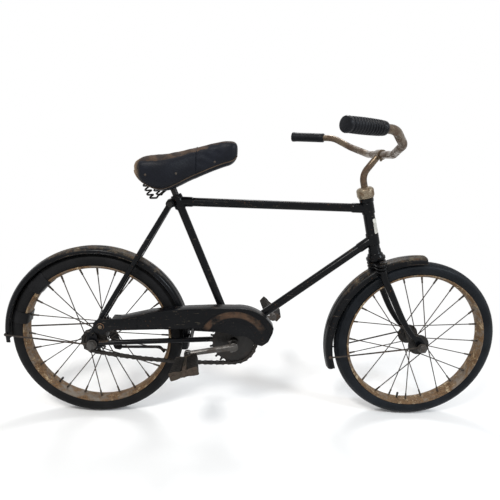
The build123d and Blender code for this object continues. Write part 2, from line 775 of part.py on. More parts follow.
def case_side(y, inset=0.0, drop=0.0, further=0.0, within=None):
    """The case seen from the side; it can be drawn inside its upper edge and past its lower one."""
    x, z, radius = NOSE[0], NOSE[1], NOSE[2] - inset
    with BuildSketch(side(y=y)) as outline:
        with BuildLine():
            nose = [
                (x + radius * cos(radians(turn)), z + radius * sin(radians(turn)))
                for turn in (NOSE_START, NOSE_END - further)
            ]
            top = [(share * BRACKET_X, SPROCKET_R + share * (BRACKET_Z + STEP_UP) + up - inset) for share, up in CASE_TOP]
            low = [(share * BRACKET_X, up - drop) for share, up in CASE_LOW]
            Polyline(*top, nose[0])
            CenterArc((x, z), radius, NOSE_START, NOSE_END - further - NOSE_START)
            Polyline(nose[1], *low)
            ThreePointArc(low[-1], (CASE_END_X - drop / 2, (low[-1][1] + top[0][1]) / 2), top[0])
        make_face()
        if within:
            with Locations((BRACKET_X, BRACKET_Z)):
                Circle(within, mode=Mode.INTERSECT)
    return outline.sketch


with BuildPart() as chain_case:
    extrude(case_side(CASE_Y + CASE_DEPTH), amount=CASE_DEPTH)
    extrude(case_side(CASE_Y + CASE_DEPTH, CASE_T, 30, 40), amount=CASE_DEPTH - CASE_T, mode=Mode.SUBTRACT)
    with BuildSketch(side(8, 40, CASE_Y + CASE_DEPTH)):
        Rectangle(66, 60)
    extrude(amount=CASE_DEPTH - CASE_T, mode=Mode.SUBTRACT)
    extrude(case_side(CASE_Y, within=RING_R + CASE_BULGE_MARGIN), amount=CASE_BULGE)
    disc(*CASE_BOLT, 7, CASE_Y - 2.5, CASE_Y)
    disc(CASE_BOLT[0] - 6, CASE_BOLT[1], 4, CASE_Y, -STAY_Y + 4)
    disc(seat_tube_x(CASE_STRUT_Z), CASE_STRUT_Z, 3, CASE_Y, 0)
    add(seat_tube.part, mode=Mode.SUBTRACT)
    add(seat_stays.part, mode=Mode.SUBTRACT)
finish(chain_case, "chain_case")

# mudguards: a curved sheet over each tyre, and the wires that hold it
GUARDS = (
    # name, wheel centre x and z, radius, start and end of the sweep in degrees
    ("rear_guard", 0.0, 0.0, GUARD_R, -8.0, 185.0),
    ("front_guard", FRONT_GUARD_X, FRONT_GUARD_Z, FRONT_GUARD_R, 88.0, 199.0),
)
for name, x, z, radius, start, end in GUARDS:
    w = GUARD_W / 2
    with BuildPart() as guard:
        with BuildSketch(radial(x, z, start)):
            with BuildLine():
                Polyline(
                    (-w, radius - GUARD_DROP),
                    (-w * 0.6, radius),
                    (w * 0.6, radius),
                    (w, radius - GUARD_DROP),
                    (w - GUARD_T, radius - GUARD_DROP),
                    (w * 0.6 - GUARD_T, radius - GUARD_T),
                    (-w * 0.6 + GUARD_T, radius - GUARD_T),
                    (-w + GUARD_T, radius - GUARD_DROP),
                    close=True,
                )
            make_face()
        revolve(axis=axle_line(x, z), revolution_arc=start - end)
    finish(guard, name)

WIRES = (
    # name, hub x, height of the guard's end, reach of the wire, offset at the axle
    ("rear_guard_stays", 0.0, 2.0, GUARD_R - 6, WIRE_Y),
    ("front_guard_stays", WHEELBASE, -38.0, GUARD_R - 3, FRONT_WIRE_Y),
)
for name, hub_x, end_z, reach, out in WIRES:
    eye_r = AXLE_D / 2 + WIRE_D
    with BuildPart() as wires:
        for left in (-1, 1):
            near, far = left * out - EYE_T / 2, left * out + EYE_T / 2
            turned(hub_x, 0, ((near, AXLE_D / 2), (near, eye_r), (far, eye_r), (far, AXLE_D / 2)))
            foot = at(hub_x - eye_r + 2, left * (out + 1), 0)
            rod(foot, at(hub_x - reach, left * (GUARD_W + WIRE_D) / 2, end_z), WIRE_D / 2 - 0.2)
    finish(wires, name)

# front fork: steerer, a crown of three plates that arches over the guard, and two raked blades
BLADE = (
    # height as a share of the crown's, forward of the axis as a share of the rake,
    # share of the way out from crown to tip, share of the way from full to tip width
    (1.141, 0.107, 0.0, 0.0),
    (0.939, 0.04, 0.0, 0.0),
    (0.755, 0.18, 0.2, 0.1),
    (0.411, 0.43, 0.55, 0.4),
    (0.209, 0.664, 0.8, 0.8),
    (0.0767, 0.9, 1.0, 1.0),
)
with BuildPart() as fork:
    rod(steer(CROWN_Z), steer(HEAD_TOP + 24), STEERER_D / 2)
    rod(steer(CROWN_Z), steer(HEAD_BOTTOM - 12.5), CROWN_R - 5)
    for step in range(3):
        origin = steer(CROWN_Z + step * CROWN_STEP)
        with BuildSketch(Plane(origin=origin, x_dir=(0, 1, 0), z_dir=steer(HEAD_TOP) - steer(CROWN_Z))):
            SlotCenterToCenter(2 * BLADE_Y, 22)
            Circle(CROWN_R)
        extrude(amount=CROWN_PLATE_T)
    for left in (-1, 1):
        points = []
        radii = []
        for up, ahead, out, slim in BLADE:
            z = up * CROWN_Z
            y = BLADE_Y + out * (TIP_Y - BLADE_Y)
            points.append(at(head_x(z) + ahead * HEAD_AHEAD, left * y, z))
            radii.append(BLADE_D / 2 + slim * (BLADE_TIP_D - BLADE_D) / 2)
        jointed_rod(points, radii)
        with BuildSketch(side(WHEELBASE, 0, left * TIP_Y + PLATE_T / 2)):
            with BuildLine():
                Polyline((-16, 16), (-5, 24), (9, 4), (-9, -5), close=True)
            make_face()
            Circle(10)
        extrude(amount=PLATE_T)
    tunnel = GUARD_W / 2 + 0.5
    disc(FRONT_GUARD_X, FRONT_GUARD_Z, FRONT_GUARD_R + 0.4, -tunnel, tunnel, mode=Mode.SUBTRACT)
    disc(WHEELBASE, 0, AXLE_D / 2, -TIP_Y - 6, TIP_Y + 6, mode=Mode.SUBTRACT)
    rod(steer(HEAD_TOP - 45), steer(HEAD_TOP + 25), STEM_D / 2, mode=Mode.SUBTRACT)
finish(fork, "fork")

with BuildPart() as head_nut:
    rod(steer(HEAD_TOP + 4.5), steer(HEAD_TOP + 22), 18)
    rod(steer(HEAD_TOP + 22), steer(HEAD_TOP + 27), 18, 14)
    rod(steer(HEAD_TOP), steer(HEAD_TOP + 24), STEERER_D / 2, mode=Mode.SUBTRACT)
    rod(steer(HEAD_TOP), steer(HEAD_TOP + 40), STEM_D / 2, mode=Mode.SUBTRACT)
finish(head_nut, "head_nut")

with BuildPart() as stem:
    bent_rod((steer(HEAD_TOP - 40), steer(HEAD_TOP + 52), at(BAR_X - 2, 0, BAR_Z)), 24, STEM_D / 2)
    disc(BAR_X, BAR_Z, BAR_D / 2 + 3, -14, 14)
    disc(BAR_X, BAR_Z, BAR_D / 2, -15, 15, mode=Mode.SUBTRACT)
finish(stem, "stem")

BAR = (
    # forward of the stem's clamp, out from the middle, up
    (0.0, 0.0, 0.0),
    (0.0, 72.0, 0.0),
    (-18.0, 160.0, 16.0),
    (-50.0, 203.0, 37.0),
    (-144.0, 255.0, 38.0),
)
with BuildPart() as handlebar:
    for left in (-1, 1):
        bent_rod([at(BAR_X + x, left * y, BAR_Z + z) for x, y, z in BAR], 40, BAR_D / 2)
finish(handlebar, "handlebar")

with BuildPart() as grips:
    for left in (-1, 1):
        knee, end = [at(BAR_X + x, left * y, BAR_Z + z) for x, y, z in BAR[-2:]]
        run = end - knee
        unit = run.normalized()
        start = knee + run * GRIP_START
        rod(start, end, GRIP_D / 2, GRIP_END_D / 2 - 1)
        rod(end - unit * 4, end + unit * 3, GRIP_END_D / 2)
        rod(start - unit, end, BAR_D / 2, mode=Mode.SUBTRACT)
finish(grips, "grips")

# seat post and its clamp
with BuildPart() as seat_post:
    rod(cluster - along * 38, cluster + along * 37, POST_D / 2)
    disc(*CLAMP, 10, -15, 15)
finish(seat_post, "seat_post")

SADDLE = (
    # forward of the rider's place, half width, top and lower edge above it
    (-62.0, 50.0, -16.0, -35.0),
    (-44.0, 68.0, -6.0, -57.0),
    (-5.0, 68.0, 0.0, -70.0),
    (42.0, 45.0, 12.0, -47.0),
    (88.0, 27.0, 25.0, -26.0),
    (126.0, 21.0, 34.0, -13.0),
    (138.0, 14.0, 27.0, -1.0),
)


def saddle_form(thin=0.0, low=0.0, mode=Mode.ADD):
    """The pad as a ruled loft; drawn thinner and lower it is the hollow under the pad."""
    faces = []
    for x, half_w, top, edge in SADDLE:
        w = half_w - thin
        crown = top - thin * 1.2
        shoulder = crown - (top - edge) * 0.42
        origin = (x + (thin if x < 0 else -thin), 0, 0)
        with BuildSketch(Plane(origin=origin, x_dir=(0, 1, 0), z_dir=(1, 0, 0))) as face:
            with BuildLine():
                Polyline(
                    (-w * 0.94, edge - low),
                    (-w, shoulder),
                    (-w * 0.62, crown - (crown - shoulder) * 0.32),
                    (0, crown),
                    (w * 0.62, crown - (crown - shoulder) * 0.32),
                    (w, shoulder),
                    (w * 0.94, edge - low),
                    close=True,
                )
            make_face()
        faces.append(face.sketch)
    loft(faces, ruled=True, mode=mode)


with BuildPart() as saddle:
    saddle_form()
    saddle_form(PAD_T, 8, Mode.SUBTRACT)
finish(saddle, "saddle")

# two coil springs, the wires that carry them and the rails to the saddle's nose
with BuildPart() as saddle_springs:
    wire = SPRING_WIRE / 2
    clamp_x, clamp_z = CLAMP[0] - SEAT_X, CLAMP[1] - SEAT_Z
    for left in (-1, 1):
        foot = Vector(-29, left * 40, -81)
        lift = (Vector(-44, left * 43, -47) - foot).normalized()
        for k in range(SPRING_TURNS):
            low = foot + lift * (k * SPRING_STEP)
            rod(low, low + lift * SPRING_WIRE, SPRING_D / 2)
        top = foot + lift * (SPRING_TURNS * SPRING_STEP)
        rod(foot - lift * 4, top + lift * 22, SPRING_D / 2 - SPRING_WIRE)
        inner = Vector(clamp_x, left * 12, clamp_z)
        jointed_rod((foot - lift, Vector(-18, left * 30, -80), inner), (wire, wire, wire))
        jointed_rod((inner, Vector(40, left * 11, -35), Vector(112, left * 7, 11)), (wire, wire, wire))
    add(seat_post.part, mode=Mode.SUBTRACT)
    add(saddle.part, mode=Mode.SUBTRACT)
finish(saddle_springs, "saddle_springs")

# arm on the left end of the rear axle, running forward below the stay
with BuildPart() as hub_arm:
    with BuildSketch(side(y=ARM_Y)):
        with BuildLine():
            Polyline((-10, 9), (10, 9), (30, 6 - ARM_DROP), (26, -8 - ARM_DROP), (14, -6 - ARM_DROP), close=True)
        make_face()
        Circle(AXLE_D / 2, mode=Mode.SUBTRACT)
    extrude(amount=3)
    bent_rod(
        (
            at(21, ARM_Y - 1.5, -1 - ARM_DROP),
            at(ARM_REACH, ARM_Y - 3, 1 - ARM_DROP),
            at(ARM_REACH + 11, ARM_Y - 3, -12 - ARM_DROP),
        ),
        8,
        ARM_D / 2,
    )
finish(hub_arm, "hub_arm")
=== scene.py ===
import json
from math import acos, asin, atan2, ceil, cos, hypot, pi, radians, sin, tan

import bmesh
import bpy
from bpy.props import FloatProperty, FloatVectorProperty, IntProperty, PointerProperty
from mathutils import Matrix, Vector
from mathutils.bvhtree import BVHTree


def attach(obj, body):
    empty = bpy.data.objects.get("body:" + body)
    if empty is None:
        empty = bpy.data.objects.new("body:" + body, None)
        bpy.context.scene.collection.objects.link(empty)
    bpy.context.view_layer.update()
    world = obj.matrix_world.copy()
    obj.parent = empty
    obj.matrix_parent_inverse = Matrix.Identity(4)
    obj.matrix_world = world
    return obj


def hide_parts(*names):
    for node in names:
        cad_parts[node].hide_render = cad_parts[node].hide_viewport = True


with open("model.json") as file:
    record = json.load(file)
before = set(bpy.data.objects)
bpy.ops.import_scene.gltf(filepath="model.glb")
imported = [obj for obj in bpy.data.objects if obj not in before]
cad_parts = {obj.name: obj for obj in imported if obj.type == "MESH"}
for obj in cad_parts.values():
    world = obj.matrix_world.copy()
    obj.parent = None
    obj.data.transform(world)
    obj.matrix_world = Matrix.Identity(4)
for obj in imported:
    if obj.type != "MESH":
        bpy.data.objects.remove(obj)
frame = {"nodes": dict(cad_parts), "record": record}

bl_info = {
    "name": "Child Bicycle",
    "version": (1, 0, 0),
    "blender": (4, 5, 0),
    "location": "View3D > Sidebar > Bicycle",
    "description": "Dresses the solids of an old child's bicycle with its detailed pieces and finishes",
    "category": "Object",
}

# Places below are in millimetres forward of the rear axle, to the rider's left and up from
# the line through both axles. at() brings them to the frame of the solids, in metres.
SEAT_X = 149.741
SEAT_Z = 387.035
WHEELBASE = 700.0
TYRE_R = 182.0
WHEELS = (
    # name, hub forward of the rear axle
    ("rear", 0.0),
    ("front", WHEELBASE),
)
HEAD_ANGLE = radians(75)
LEAN = 1 / tan(HEAD_ANGLE)
HEAD_BOTTOM = 197.035
HEAD_TOP = 311.035
CROWN_Z = 163.035
TOP_TUBE_Z = 294.035
DOWN_TUBE_Z = 229.035
CLUSTER_X = 168.741
BRACKET = (291.080, 3.0)
CHAIN_Y = -37.0
CASE_Y = -56.0
STAY_TOP = (153.341, 290.035)
CLAMP = (154.741, 327.035)
STAY_BEND = (100.095, 198.154)


def at(x, y, z):
    """A point in metres from its place forward of the rear axle, left, and up."""
    return Vector((x - SEAT_X, y, z - SEAT_Z)) / 1000


def steer(z, ahead=0.0, y=0.0):
    """A point on the steering axis at a height, or ahead of it and beside it."""
    return at(WHEELBASE - 56.2 - z * LEAN + ahead, y, z)


STEER_AXIS = (steer(HEAD_TOP) - steer(HEAD_BOTTOM)).normalized()
ACROSS = Vector((0, 1, 0))
AHEAD = ACROSS.cross(STEER_AXIS).normalized()


# mesh helpers
def absorb(bm, part):
    """Adds a part's mesh to a piece and frees the part."""
    mesh = bpy.data.meshes.new("part")
    part.to_mesh(mesh)
    part.free()
    bm.from_mesh(mesh)
    bpy.data.meshes.remove(mesh)
    return bm


def tidy(bm):
    """Joins points that meet and turns all faces outward."""
    bmesh.ops.remove_doubles(bm, verts=bm.verts, dist=2e-6)
    bmesh.ops.recalc_face_normals(bm, faces=bm.faces)
    return bm


def place(bm, name, material, body, nodes=(), slot=None, angle=38):
    """Turns a finished mesh into a piece that rides on a body and stands for solids."""
    mesh = bpy.data.meshes.new(name)
    bm.to_mesh(mesh)
    bm.free()
    mesh.shade_smooth()
    mesh.set_sharp_from_angle(angle=radians(angle))
    piece = bpy.data.objects.new(name, mesh)
    bpy.context.scene.collection.objects.link(piece)
    piece.data.materials.append(material)
    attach(piece, body)
    if nodes:
        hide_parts(*nodes)
    return piece


def bevelled(bm, width, segments=2, angle=30):
    """Rounds the edges of a mesh that are sharper than an angle."""
    sharp = [e for e in bm.edges if len(e.link_faces) == 2 and e.calc_face_angle() > radians(angle)]
    bmesh.ops.bevel(
        bm,
        geom=sharp,
        offset=width,
        segments=segments,
        profile=0.5,
        affect="EDGES",
        material=-1,
        clamp_overlap=True,
    )
    return bm


def dressed(node, width, angle=30):
    """A merged copy of a solid with its edges rounded."""
    bm = bmesh.new()
    bm.from_mesh(frame["nodes"][node].data)
    bmesh.ops.remove_doubles(bm, verts=bm.verts, dist=4e-6)
    bmesh.ops.dissolve_limit(bm, angle_limit=radians(1.2), verts=bm.verts, edges=bm.edges)
    return bevelled(bm, width, 2, angle)


def rounded(points, bend, steps=7):
    """A path whose corners are arcs."""
    points = [Vector(p) for p in points]
    path = [points[0]]
    for before, corner, after in zip(points, points[1:], points[2:]):
        back = (before - corner).normalized()
        ahead = (after - corner).normalized()
        turn = pi - back.angle(ahead)
        if turn < 0.01:
            path.append(corner)
            continue
        reach = bend / 1000 * tan(turn / 2)
        reach = min(reach, (before - corner).length * 0.49, (after - corner).length * 0.49)
        for i in range(steps + 1):
            share = i / steps
            a = corner + back * reach * (1 - share)
            b = corner + ahead * reach * share
            path.append(a.lerp(b, share))
    path.append(points[-1])
    return path


def flowing(rows, steps=5):
    """Smooth in-between rows of numbers along a table."""
    result = []
    for i in range(len(rows) - 1):
        a = rows[max(i - 1, 0)]
        b, c = rows[i], rows[i + 1]
        d = rows[min(i + 2, len(rows) - 1)]
        for k in range(steps):
            t = k / steps
            row = []
            for p, q, r, s in zip(a, b, c, d):
                square = (2 * p - 5 * q + 4 * r - s) * t**2
                cube = (3 * q - p - 3 * r + s) * t**3
                row.append(0.5 * (2 * q + (r - p) * t + square + cube))
            result.append(tuple(row))
    result.append(tuple(rows[-1]))
    return result


def ring_edges(ring):
    """Edges that join the points of one ring."""
    inside = set(ring)
    around = {edge for v in ring for edge in v.link_edges}
    return [edge for edge in around if set(edge.verts) <= inside]


def pipe(points, radii, sides=16, flat=1.0, upright=None):
    """A closed tube through the points; its section may be flattened along its second axis."""
    points = [Vector(p) for p in points]
    if not isinstance(radii, (list, tuple)):
        radii = [radii] * len(points)
    bm = bmesh.new()
    before = None
    axis = side = None
    last = len(points) - 1
    for i, point in enumerate(points):
        heading = (points[min(i + 1, last)] - points[max(i - 1, 0)]).normalized()
        if axis is None:
            side = (upright or heading.orthogonal()).cross(heading).normalized()
        else:
            side = axis.rotation_difference(heading) @ side
        axis = heading
        third = heading.cross(side).normalized()
        turn = Matrix((side, third * flat, heading)).transposed().to_4x4()
        ring = bmesh.ops.create_circle(
            bm,
            cap_ends=i in (0, last),
            segments=sides,
            radius=radii[i] / 1000,
            matrix=Matrix.Translation(point) @ turn,
        )["verts"]
        edges = ring_edges(ring)
        if before:
            bmesh.ops.bridge_loops(bm, edges=before + edges)
        before = edges
    return tidy(bm)


def turned(profile, origin, axis, steps=64, turn=2 * pi, out=None, closed=True):
    """Spins a profile of distances along an axis and radii, in millimetres."""
    axis = axis.normalized()
    out = (out or axis.orthogonal()).normalized()
    bm = bmesh.new()
    verts = [bm.verts.new(origin + axis * along / 1000 + out * radius / 1000) for along, radius in profile]
    edges = [bm.edges.new(pair) for pair in zip(verts, verts[1:])]
    if closed:
        edges.append(bm.edges.new((verts[-1], verts[0])))
    whole = abs(turn) > 2 * pi - 0.001
    bmesh.ops.spin(
        bm,
        geom=verts + edges,
        cent=origin,
        axis=axis,
        dvec=(0, 0, 0),
        angle=turn,
        steps=steps,
        use_merge=whole,
        use_duplicate=False,
    )
    bmesh.ops.remove_doubles(bm, verts=bm.verts, dist=2e-6)
    if not whole:
        bmesh.ops.holes_fill(bm, edges=bm.edges, sides=0)
    return tidy(bm)


def about_axle(profile, x, z, steps=64, start=0.0, end=360.0):
    """Spins a profile of offset and radius about a line across the bicycle."""
    out = Vector((cos(radians(start)), 0, sin(radians(start))))
    mirrored = [(-offset, radius) for offset, radius in profile]
    return turned(mirrored, at(x, 0, z), -ACROSS, steps, radians(end - start), out)


def slab(points, push):
    """A closed slab: a flat outline pushed along a vector."""
    bm = bmesh.new()
    face = bm.faces.new([bm.verts.new(point) for point in points])
    solid = bmesh.ops.extrude_face_region(bm, geom=[face])
    moved = [v for v in solid["geom"] if isinstance(v, bmesh.types.BMVert)]
    bmesh.ops.translate(bm, verts=moved, vec=push)
    bmesh.ops.recalc_face_normals(bm, faces=bm.faces)
    return bm


def on_side(left, profile):
    """A profile of offset and radius on the left (1) or right (-1) side."""
    return [(left * y, radius) for y, radius in profile]


def plate(outline, y, thick, width=0.0005, segments=2):
    """A flat plate seen from the side, from an offset on, with rounded edges."""
    bm = slab([at(x, y, z) for x, z in outline], ACROSS * thick / 1000)
    return bevelled(bm, width, segments)


def nut(centre, axis, radius, thick, turn=0.3, sides=6):
    """A nut or bolt head with rounded edges, centred on a point."""
    bm = bmesh.new()
    facing = axis.to_track_quat("Z", "Y").to_matrix().to_4x4()
    matrix = Matrix.Translation(centre) @ facing @ Matrix.Rotation(turn, 4, "Z")
    bmesh.ops.create_cone(
        bm,
        cap_ends=True,
        segments=sides,
        radius1=radius / 1000,
        radius2=radius / 1000,
        depth=thick / 1000,
        matrix=matrix,
    )
    return bevelled(bm, min(radius, thick) * 0.00009 + 0.0003)


def threaded(x, z, radius, y_from, y_to, pitch=1.2):
    """A threaded end across the bicycle."""
    low, high = min(y_from, y_to), max(y_from, y_to)
    profile = [(low, 0.0), (low, radius - 0.7)]
    count = int((high - low - 1) / pitch)
    for i in range(count):
        profile += [(low + 0.4 + i * pitch, radius), (low + 0.4 + (i + 0.5) * pitch, radius - 0.45)]
    profile += [(high, radius - 0.7), (high, 0.0)]
    return about_axle(profile, x, z, 20)


# finishes
class Finish:
    """A material and short ways to join its nodes."""

    def __init__(self, name):
        self.material = bpy.data.materials.new(name)
        self.material.use_nodes = True
        self.tree = self.material.node_tree
        self.shader = self.tree.nodes["Principled BSDF"]
        self.place = self.node("ShaderNodeTexCoord").outputs["Object"]

    def node(self, kind, **values):
        """A new node with its settings."""
        node = self.tree.nodes.new(kind)
        for key, value in values.items():
            setattr(node, key, value)
        return node

    def join(self, value, socket):
        """Links a socket to another one, or sets its value."""
        if isinstance(value, bpy.types.NodeSocket):
            self.tree.links.new(value, socket)
        elif isinstance(value, (tuple, list)) and len(value) == 3 and socket.type == "RGBA":
            socket.default_value = (*value, 1)
        else:
            socket.default_value = value

    def math(self, operation, a, b=0.0):
        """What an operation makes of two values."""
        node = self.node("ShaderNodeMath", operation=operation)
        self.join(a, node.inputs[0])
        self.join(b, node.inputs[1])
        return node.outputs[0]

    def noise(self, scale, detail=5.0, rough=0.6, twist=0.0, stretch=None):
        """Cloudy noise, stretched if asked."""
        place = self.place
        if stretch:
            mapping = self.node("ShaderNodeMapping")
            mapping.inputs["Scale"].default_value = stretch
            self.tree.links.new(place, mapping.inputs["Vector"])
            place = mapping.outputs[0]
        node = self.node("ShaderNodeTexNoise")
        self.tree.links.new(place, node.inputs["Vector"])
        node.inputs["Scale"].default_value = scale
        node.inputs["Detail"].default_value = detail
        node.inputs["Roughness"].default_value = rough
        node.inputs["Distortion"].default_value = twist
        return node.outputs["Fac"]

    def cells(self, scale, feature="F1"):
        """Distances in a pattern of cells."""
        node = self.node("ShaderNodeTexVoronoi", feature=feature)
        self.tree.links.new(self.place, node.inputs["Vector"])
        node.inputs["Scale"].default_value = scale
        return node.outputs["Distance"]

    def between(self, value, low, high):
        """0 below low, 1 above high, and a smooth step between."""
        node = self.node("ShaderNodeMapRange", interpolation_type="SMOOTHSTEP")
        self.join(value, node.inputs["Value"])
        node.inputs["From Min"].default_value = low
        node.inputs["From Max"].default_value = high
        return node.outputs[0]

    def mix(self, share, a, b, kind="RGBA"):
        """A colour between two others."""
        node = self.node("ShaderNodeMix", data_type=kind)
        self.join(share, node.inputs["Factor"])
        self.join(a, node.inputs["A"])
        self.join(b, node.inputs["B"])
        return node.outputs["Result"]

    def blend(self, share, a, b):
        """A number between two others."""
        return self.mix(share, a, b, "FLOAT")

    def upward(self):
        """How far a surface faces up, from -1 to 1."""
        split = self.node("ShaderNodeSeparateXYZ")
        self.tree.links.new(self.node("ShaderNodeNewGeometry").outputs["Normal"], split.inputs[0])
        return split.outputs["Z"]

    def axes(self):
        """The three coordinates of a point in the solids' frame."""
        split = self.node("ShaderNodeSeparateXYZ")
        self.tree.links.new(self.place, split.inputs[0])
        return split.outputs

    def sum(self, *terms):
        """Values added up, each times its share."""
        total, *others = [self.math("MULTIPLY", value, share) for value, share in terms]
        for part in others:
            total = self.math("ADD", total, part)
        return total

    def from_centre(self, x, z):
        """Distance and angle round a line across the bicycle."""
        split = self.axes()
        centre = at(x, 0, z)
        dx = self.math("SUBTRACT", split["X"], centre.x)
        dz = self.math("SUBTRACT", split["Z"], centre.z)
        reach = self.math("SQRT", self.sum((dx, dx), (dz, dz)))
        return reach, self.math("ARCTAN2", dz, dx)

    def set(self, **values):
        """Joins values to the shader's inputs of like names."""
        for key, value in values.items():
            self.join(value, self.shader.inputs[key.replace("_", " ").title()])

    def bump(self, height, depth, strength):
        """Lets a height shade the surface."""
        node = self.node("ShaderNodeBump")
        node.inputs["Strength"].default_value = strength
        node.inputs["Distance"].default_value = depth
        self.join(height, node.inputs["Height"])
        self.tree.links.new(node.outputs[0], self.shader.inputs["Normal"])

    def matt(self, level):
        """Lowers the mirror-like share of the shine."""
        self.shader.inputs["Specular IOR Level"].default_value = level


def settings():
    """The sizes and colours that a user may change."""
    return bpy.context.scene.child_bicycle


def painted(name, rub, gloss, bare, printed):
    """Old black paint, rubbed through to primer and rust on its upper faces, which also carry painted
    highlight: lighter paint on top and golden scratch glints.
    """
    f = Finish(name)
    s = settings()
    paint = tuple(s.paint)
    clouds = f.noise(9, 6, 0.65)
    grain = f.noise(160, 6, 0.7)
    chips = f.noise(62, 8, 0.75, 0.6)
    streaks = f.noise(30, 5, 0.7, 0.0, (1, 1, 7))
    scratches = f.noise(46, 4, 0.6, 0.2, (1, 1, 14))
    # Upper faces get more rubbed-through paint and lighter paint: partly wear, partly painted highlight.
    up = f.between(f.upward(), -0.1, 1.0)
    worn = f.math("ADD", f.math("MULTIPLY", up, 0.11 + rub), f.math("MULTIPLY", clouds, 0.34))
    worn = f.math("ADD", worn, f.math("MULTIPLY", chips, 0.42))
    through = f.between(worn, 0.535 - s.wear * 0.04, 0.63)
    chalk_and_highlight = f.between(f.math("ADD", f.math("MULTIPLY", up, 0.12 + rub), clouds), 0.52, 0.85)
    # Lighter paint on upper faces and in cloudy patches: chalky paint, and painted highlight on top.
    colour = f.mix(f.math("MULTIPLY", chalk_and_highlight, 0.4), paint, tuple(c * 2.2 + 0.006 for c in paint))
    rust = f.mix(f.between(grain, 0.38, 0.66), bare, tuple(c * 0.55 for c in s.rust))
    spots = f.between(f.noise(210, 3, 0.5), 0.67, 0.73)
    # Golden scratch lines: partly scratches, partly painted glints along the edges.
    scratches_and_glints = f.math("MULTIPLY", f.between(scratches, 0.645, 0.69), f.between(chips, 0.45, 0.6))
    edge = f.mix(f.between(streaks, 0.45, 0.7), rust, (0.034, 0.026, 0.02))
    if printed:
        reach, angle = f.from_centre(*BRACKET)
        band = f.math("MULTIPLY", f.between(reach, 0.0605, 0.064), f.between(reach, 0.0765, 0.0735))
        arc = f.math("MULTIPLY", f.between(angle, 0.45, 0.8), f.between(angle, 2.7, 2.45))
        band = f.math("MULTIPLY", f.math("MULTIPLY", band, arc), f.between(f.noise(40, 6, 0.7), 0.36, 0.6))
        through = f.math("MAXIMUM", through, f.math("MULTIPLY", band, 0.8))
        worn = f.mix(f.between(grain, 0.35, 0.7), (0.1, 0.058, 0.035), (0.055, 0.03, 0.02))
        edge = f.mix(band, edge, worn)
    colour = f.mix(through, colour, edge)
    colour = f.mix(f.math("MULTIPLY", spots, 0.5), colour, tuple(c * 0.8 for c in s.rust))
    colour = f.mix(f.math("MULTIPLY", scratches_and_glints, 0.7), colour, (0.2, 0.165, 0.12))
    rough = f.blend(through, f.math("ADD", gloss, f.math("MULTIPLY", chalk_and_highlight, 0.2)), 0.7)
    f.set(base_color=colour, roughness=rough)
    f.matt(0.11)
    height = f.math("SUBTRACT", f.math("MULTIPLY", clouds, 0.5), f.math("MULTIPLY", through, 0.35))
    height = f.math("ADD", height, f.math("MULTIPLY", grain, 0.16))
    f.bump(height, 0.0003, 0.45)
    return f.material


def metal(name, colour, rust_share, rough, scale, rust, metallic, flakes):
    """Bright or matt metal with rust creeping over it."""
    f = Finish(name)
    colour = colour or tuple(settings().chrome)
    clouds = f.noise(scale * 0.3, 6, 0.7, 0.4)
    grain = f.noise(scale * 4, 7, 0.7)
    pits = f.noise(scale, 8, 0.72, 0.5)
    spread = f.sum((clouds, 0.55), (pits, 0.45))
    edge = 0.68 - rust_share * 0.36
    mask = f.between(spread, edge - 0.05, edge + 0.05)
    spots = f.between(f.noise(scale * 6, 2, 0.5), 0.62, 0.68)
    mask = f.math("MAXIMUM", mask, f.math("MULTIPLY", spots, 0.7))
    shade = f.mix(f.between(clouds, 0.3, 0.7), colour, tuple(c * 0.62 for c in colour))
    deep = f.mix(f.between(grain, 0.35, 0.65), tuple(c * 0.42 for c in rust), rust)
    colour_now = f.mix(mask, shade, deep)
    if flakes:
        patches = f.between(f.noise(scale * 1.6, 8, 0.8), 0.53, 0.6)
        left = f.math("MULTIPLY", patches, f.between(clouds, 0.38, 0.6))
        colour_now = f.mix(left, colour_now, flakes)
        mask = f.math("MAXIMUM", mask, left)
    f.set(base_color=colour_now)
    f.set(metallic=f.blend(mask, metallic, 0.1))
    f.set(roughness=f.blend(mask, f.math("ADD", rough, f.math("MULTIPLY", grain, 0.16)), 0.78))
    f.bump(f.sum((grain, 0.3), (mask, 0.4)), 0.0001, 0.5)
    return f.material


def rubber(name, colour, dust, rough, hub_x, dust_colour):
    """Aged rubber with dust in its hollows; a tyre's has fine cross ribs as well."""
    f = Finish(name)
    clouds = f.noise(14, 6, 0.66)
    grain = f.noise(420, 4, 0.65)
    cracks = f.cells(190, "DISTANCE_TO_EDGE")
    spread = f.sum((clouds, 0.7), (grain, 0.3))
    dusty = f.between(spread, 0.62 - dust * 0.22, 0.78)
    base = f.mix(f.between(clouds, 0.35, 0.7), colour, tuple(c * 1.9 + 0.003 for c in colour))
    height = f.sum((grain, 0.5), (f.between(cracks, 0.0, 0.06), 0.5))
    if hub_x is not None:
        reach, angle = f.from_centre(hub_x, 0)
        ribs = f.math("SINE", f.math("MULTIPLY", angle, 300.0))
        crown = f.math("MULTIPLY", f.between(reach, 0.1745, 0.1765), f.between(ribs, -0.2, 0.5))
        patches = f.between(f.noise(55, 6, 0.7), 0.4, 0.7)
        scuffs = f.math("MULTIPLY", f.between(reach, 0.176, 0.182), patches)
        base = f.mix(f.math("MULTIPLY", scuffs, 0.45), base, dust_colour)
        height = f.math("ADD", height, f.math("MULTIPLY", crown, 2.2))
    f.set(base_color=f.mix(f.math("MULTIPLY", dusty, dust), base, dust_colour))
    f.set(roughness=f.blend(dusty, rough, 0.85))
    f.matt(0.12)
    f.bump(height, 0.0003, 0.7)
    return f.material


